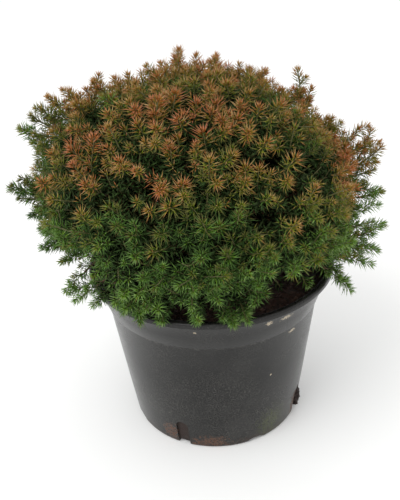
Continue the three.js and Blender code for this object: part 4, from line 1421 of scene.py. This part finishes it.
def needle_tree():
    """Needles of one tint set round the shoots' lines, each a thin bowed spike."""
    tree, given, names = set_up("needle sprays", [
        ("Tint", "Int"), ("Length", "Float"), ("Width", "Float"), ("Bow", "Float"),
        ("Wander", "Float"), ("Seed", "Int"), ("Foot finish", "Material"), ("Tip finish", "Material")])
    curve = node(tree, "GeometryNodeMeshToCurve", {0: given["Geometry"]}).outputs[0]
    dots = node(tree, "GeometryNodeCurveToPoints", {0: curve}, mode="EVALUATED").outputs
    wanted = compared(tree, "EQUAL", noted(tree, "tint", "INT"), given["Tint"], "INT")
    ball = node(tree, "GeometryNodeMeshUVSphere", {0: 3, 1: 2, 2: 1.0}).outputs[0]
    height = height_of(tree, node(tree, "GeometryNodeInputPosition").outputs[0])
    middle = worked(tree, "SUBTRACT", 1.0, worked(tree, "MULTIPLY", height, height))
    bow = worked(tree, "MULTIPLY", middle, given["Bow"])
    shift = combined(tree, bow, 0.0, worked(tree, "MULTIPLY", middle, NEEDLE_SAG))
    bowed = node(tree, "GeometryNodeSetPosition", {0: ball, 3: shift}).outputs[0]
    outer = compared(tree, "GREATER_THAN", height, 0.1)
    parted = node(tree, "GeometryNodeStoreNamedAttribute", {0: bowed, 2: "outer_half", 3: outer},
                  data_type="BOOLEAN", domain="FACE").outputs[0]
    half_width = worked(tree, "MULTIPLY", given["Width"], 0.5)
    half_length = worked(tree, "MULTIPLY", given["Length"], 0.5)
    needle = node(tree, "GeometryNodeTransform", {
        0: parted, 1: combined(tree, 0.0, 0.0, half_length),
        3: combined(tree, half_width, half_width, half_length)})

    def turned_more(rotation, axis, angle):
        """A rotation with a further turn round one of its own axes."""
        more = node(tree, "FunctionNodeAxisAngleToRotation", {0: axis, 1: angle}).outputs[0]
        inputs = {0: rotation, 1: more}
        return node(tree, "FunctionNodeRotateRotation", inputs, rotation_space="LOCAL").outputs[0]

    inputs = {0: dots["Tangent"], 1: dots["Normal"]}
    stand = node(tree, "FunctionNodeAxesToRotation", inputs).outputs[0]
    stand = turned_more(stand, (0, 0, 1), noted(tree, "turn"))
    chance = random_number(tree, -1.0, 1.0, given["Seed"])
    stray = worked(tree, "MULTIPLY", chance, given["Wander"])
    stand = turned_more(stand, (0, 1, 0), worked(tree, "ADD", noted(tree, "splay"), stray))
    length = worked(tree, "MULTIPLY", noted(tree, "vigour"), random_number(tree, 0.74, 1.1, 21))
    set_round = node(tree, "GeometryNodeInstanceOnPoints", {
        "Points": dots["Points"], "Selection": wanted, "Instance": needle.outputs[0],
        "Rotation": stand, "Scale": combined(tree, 1.0, 1.0, length)})
    feet = dressed(tree, set_round.outputs[0], given["Foot finish"])
    inputs = {0: feet, 1: noted(tree, "outer_half", "BOOLEAN"), 2: given["Tip finish"]}
    node(tree, "NodeGroupOutput", {0: node(tree, "GeometryNodeSetMaterial", inputs).outputs[0]})
    return tree, names


tree, names = needle_tree()
for number, (name, foot_colour, tip_colour, slot) in enumerate(TINTS):
    words = name.replace("_", " ") + " needle "
    foot_finish, tip_finish = [
        plain_finish(words + end, (*colour, 1), NEEDLE_ROUGHNESS, NEEDLE_SHINE)
        for end, colour in (("foot", foot_colour), ("tip", tip_colour))]
    piece = made_by("needles_" + name, frame_of_needles, tree, names, {
        "Tint": number, "Length": NEEDLE_LENGTH * MM,
        "Width": NEEDLE_WIDTH * WIDENED.get(name, 1) * MM, "Bow": NEEDLE_BOW,
        "Wander": NEEDLE_WANDER, "Seed": 7, "Foot finish": foot_finish, "Tip finish": tip_finish})
    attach(piece, "root")
    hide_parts(*foliage_nodes)
bpy.data.objects.remove(frame_of_needles)


# The studio: a plain white table top, a white surround that lights the plant evenly, and a
# broad soft lamp above it to the left that gives the pot its faint shadow on the right.
FLOOR_RADIUS = 6000
FLOOR_WHITE = (0.925, 0.927, 0.92, 1)
SURROUND_LIGHT = 1.07
LAMP_SIZE = 1.1
LAMP_POWER = 13
LAMP_PLACE = Vector((-0.8, -0.8, 1.5))
LAMP_AIM = Vector((0, 0, 0.1))
points, faces = turned([(0, 0), (400, 0), (FLOOR_RADIUS, 0)], 96)
floor = solid("table_top", points, faces)
floor.data.materials.append(plain_finish("white table", FLOOR_WHITE, 0.85))
world = bpy.data.worlds.new("white surround")
world.use_nodes = True
world.node_tree.nodes["Background"].inputs["Color"].default_value = (1, 1, 1, 1)
world.node_tree.nodes["Background"].inputs["Strength"].default_value = SURROUND_LIGHT
bpy.context.scene.world = world
lamp_data = bpy.data.lights.new("soft lamp", "AREA")
lamp_data.shape = "DISK"
lamp_data.size = LAMP_SIZE
lamp_data.energy = LAMP_POWER
lamp = put_in("soft lamp", lamp_data)
lamp_turn = (LAMP_PLACE - LAMP_AIM).to_track_quat("Z", "Y").to_matrix().to_4x4()
lamp.matrix_world = Matrix.Translation(LAMP_PLACE) @ lamp_turn
bpy.context.scene.view_settings.view_transform = "Standard"
bpy.context.scene.view_settings.look = "None"
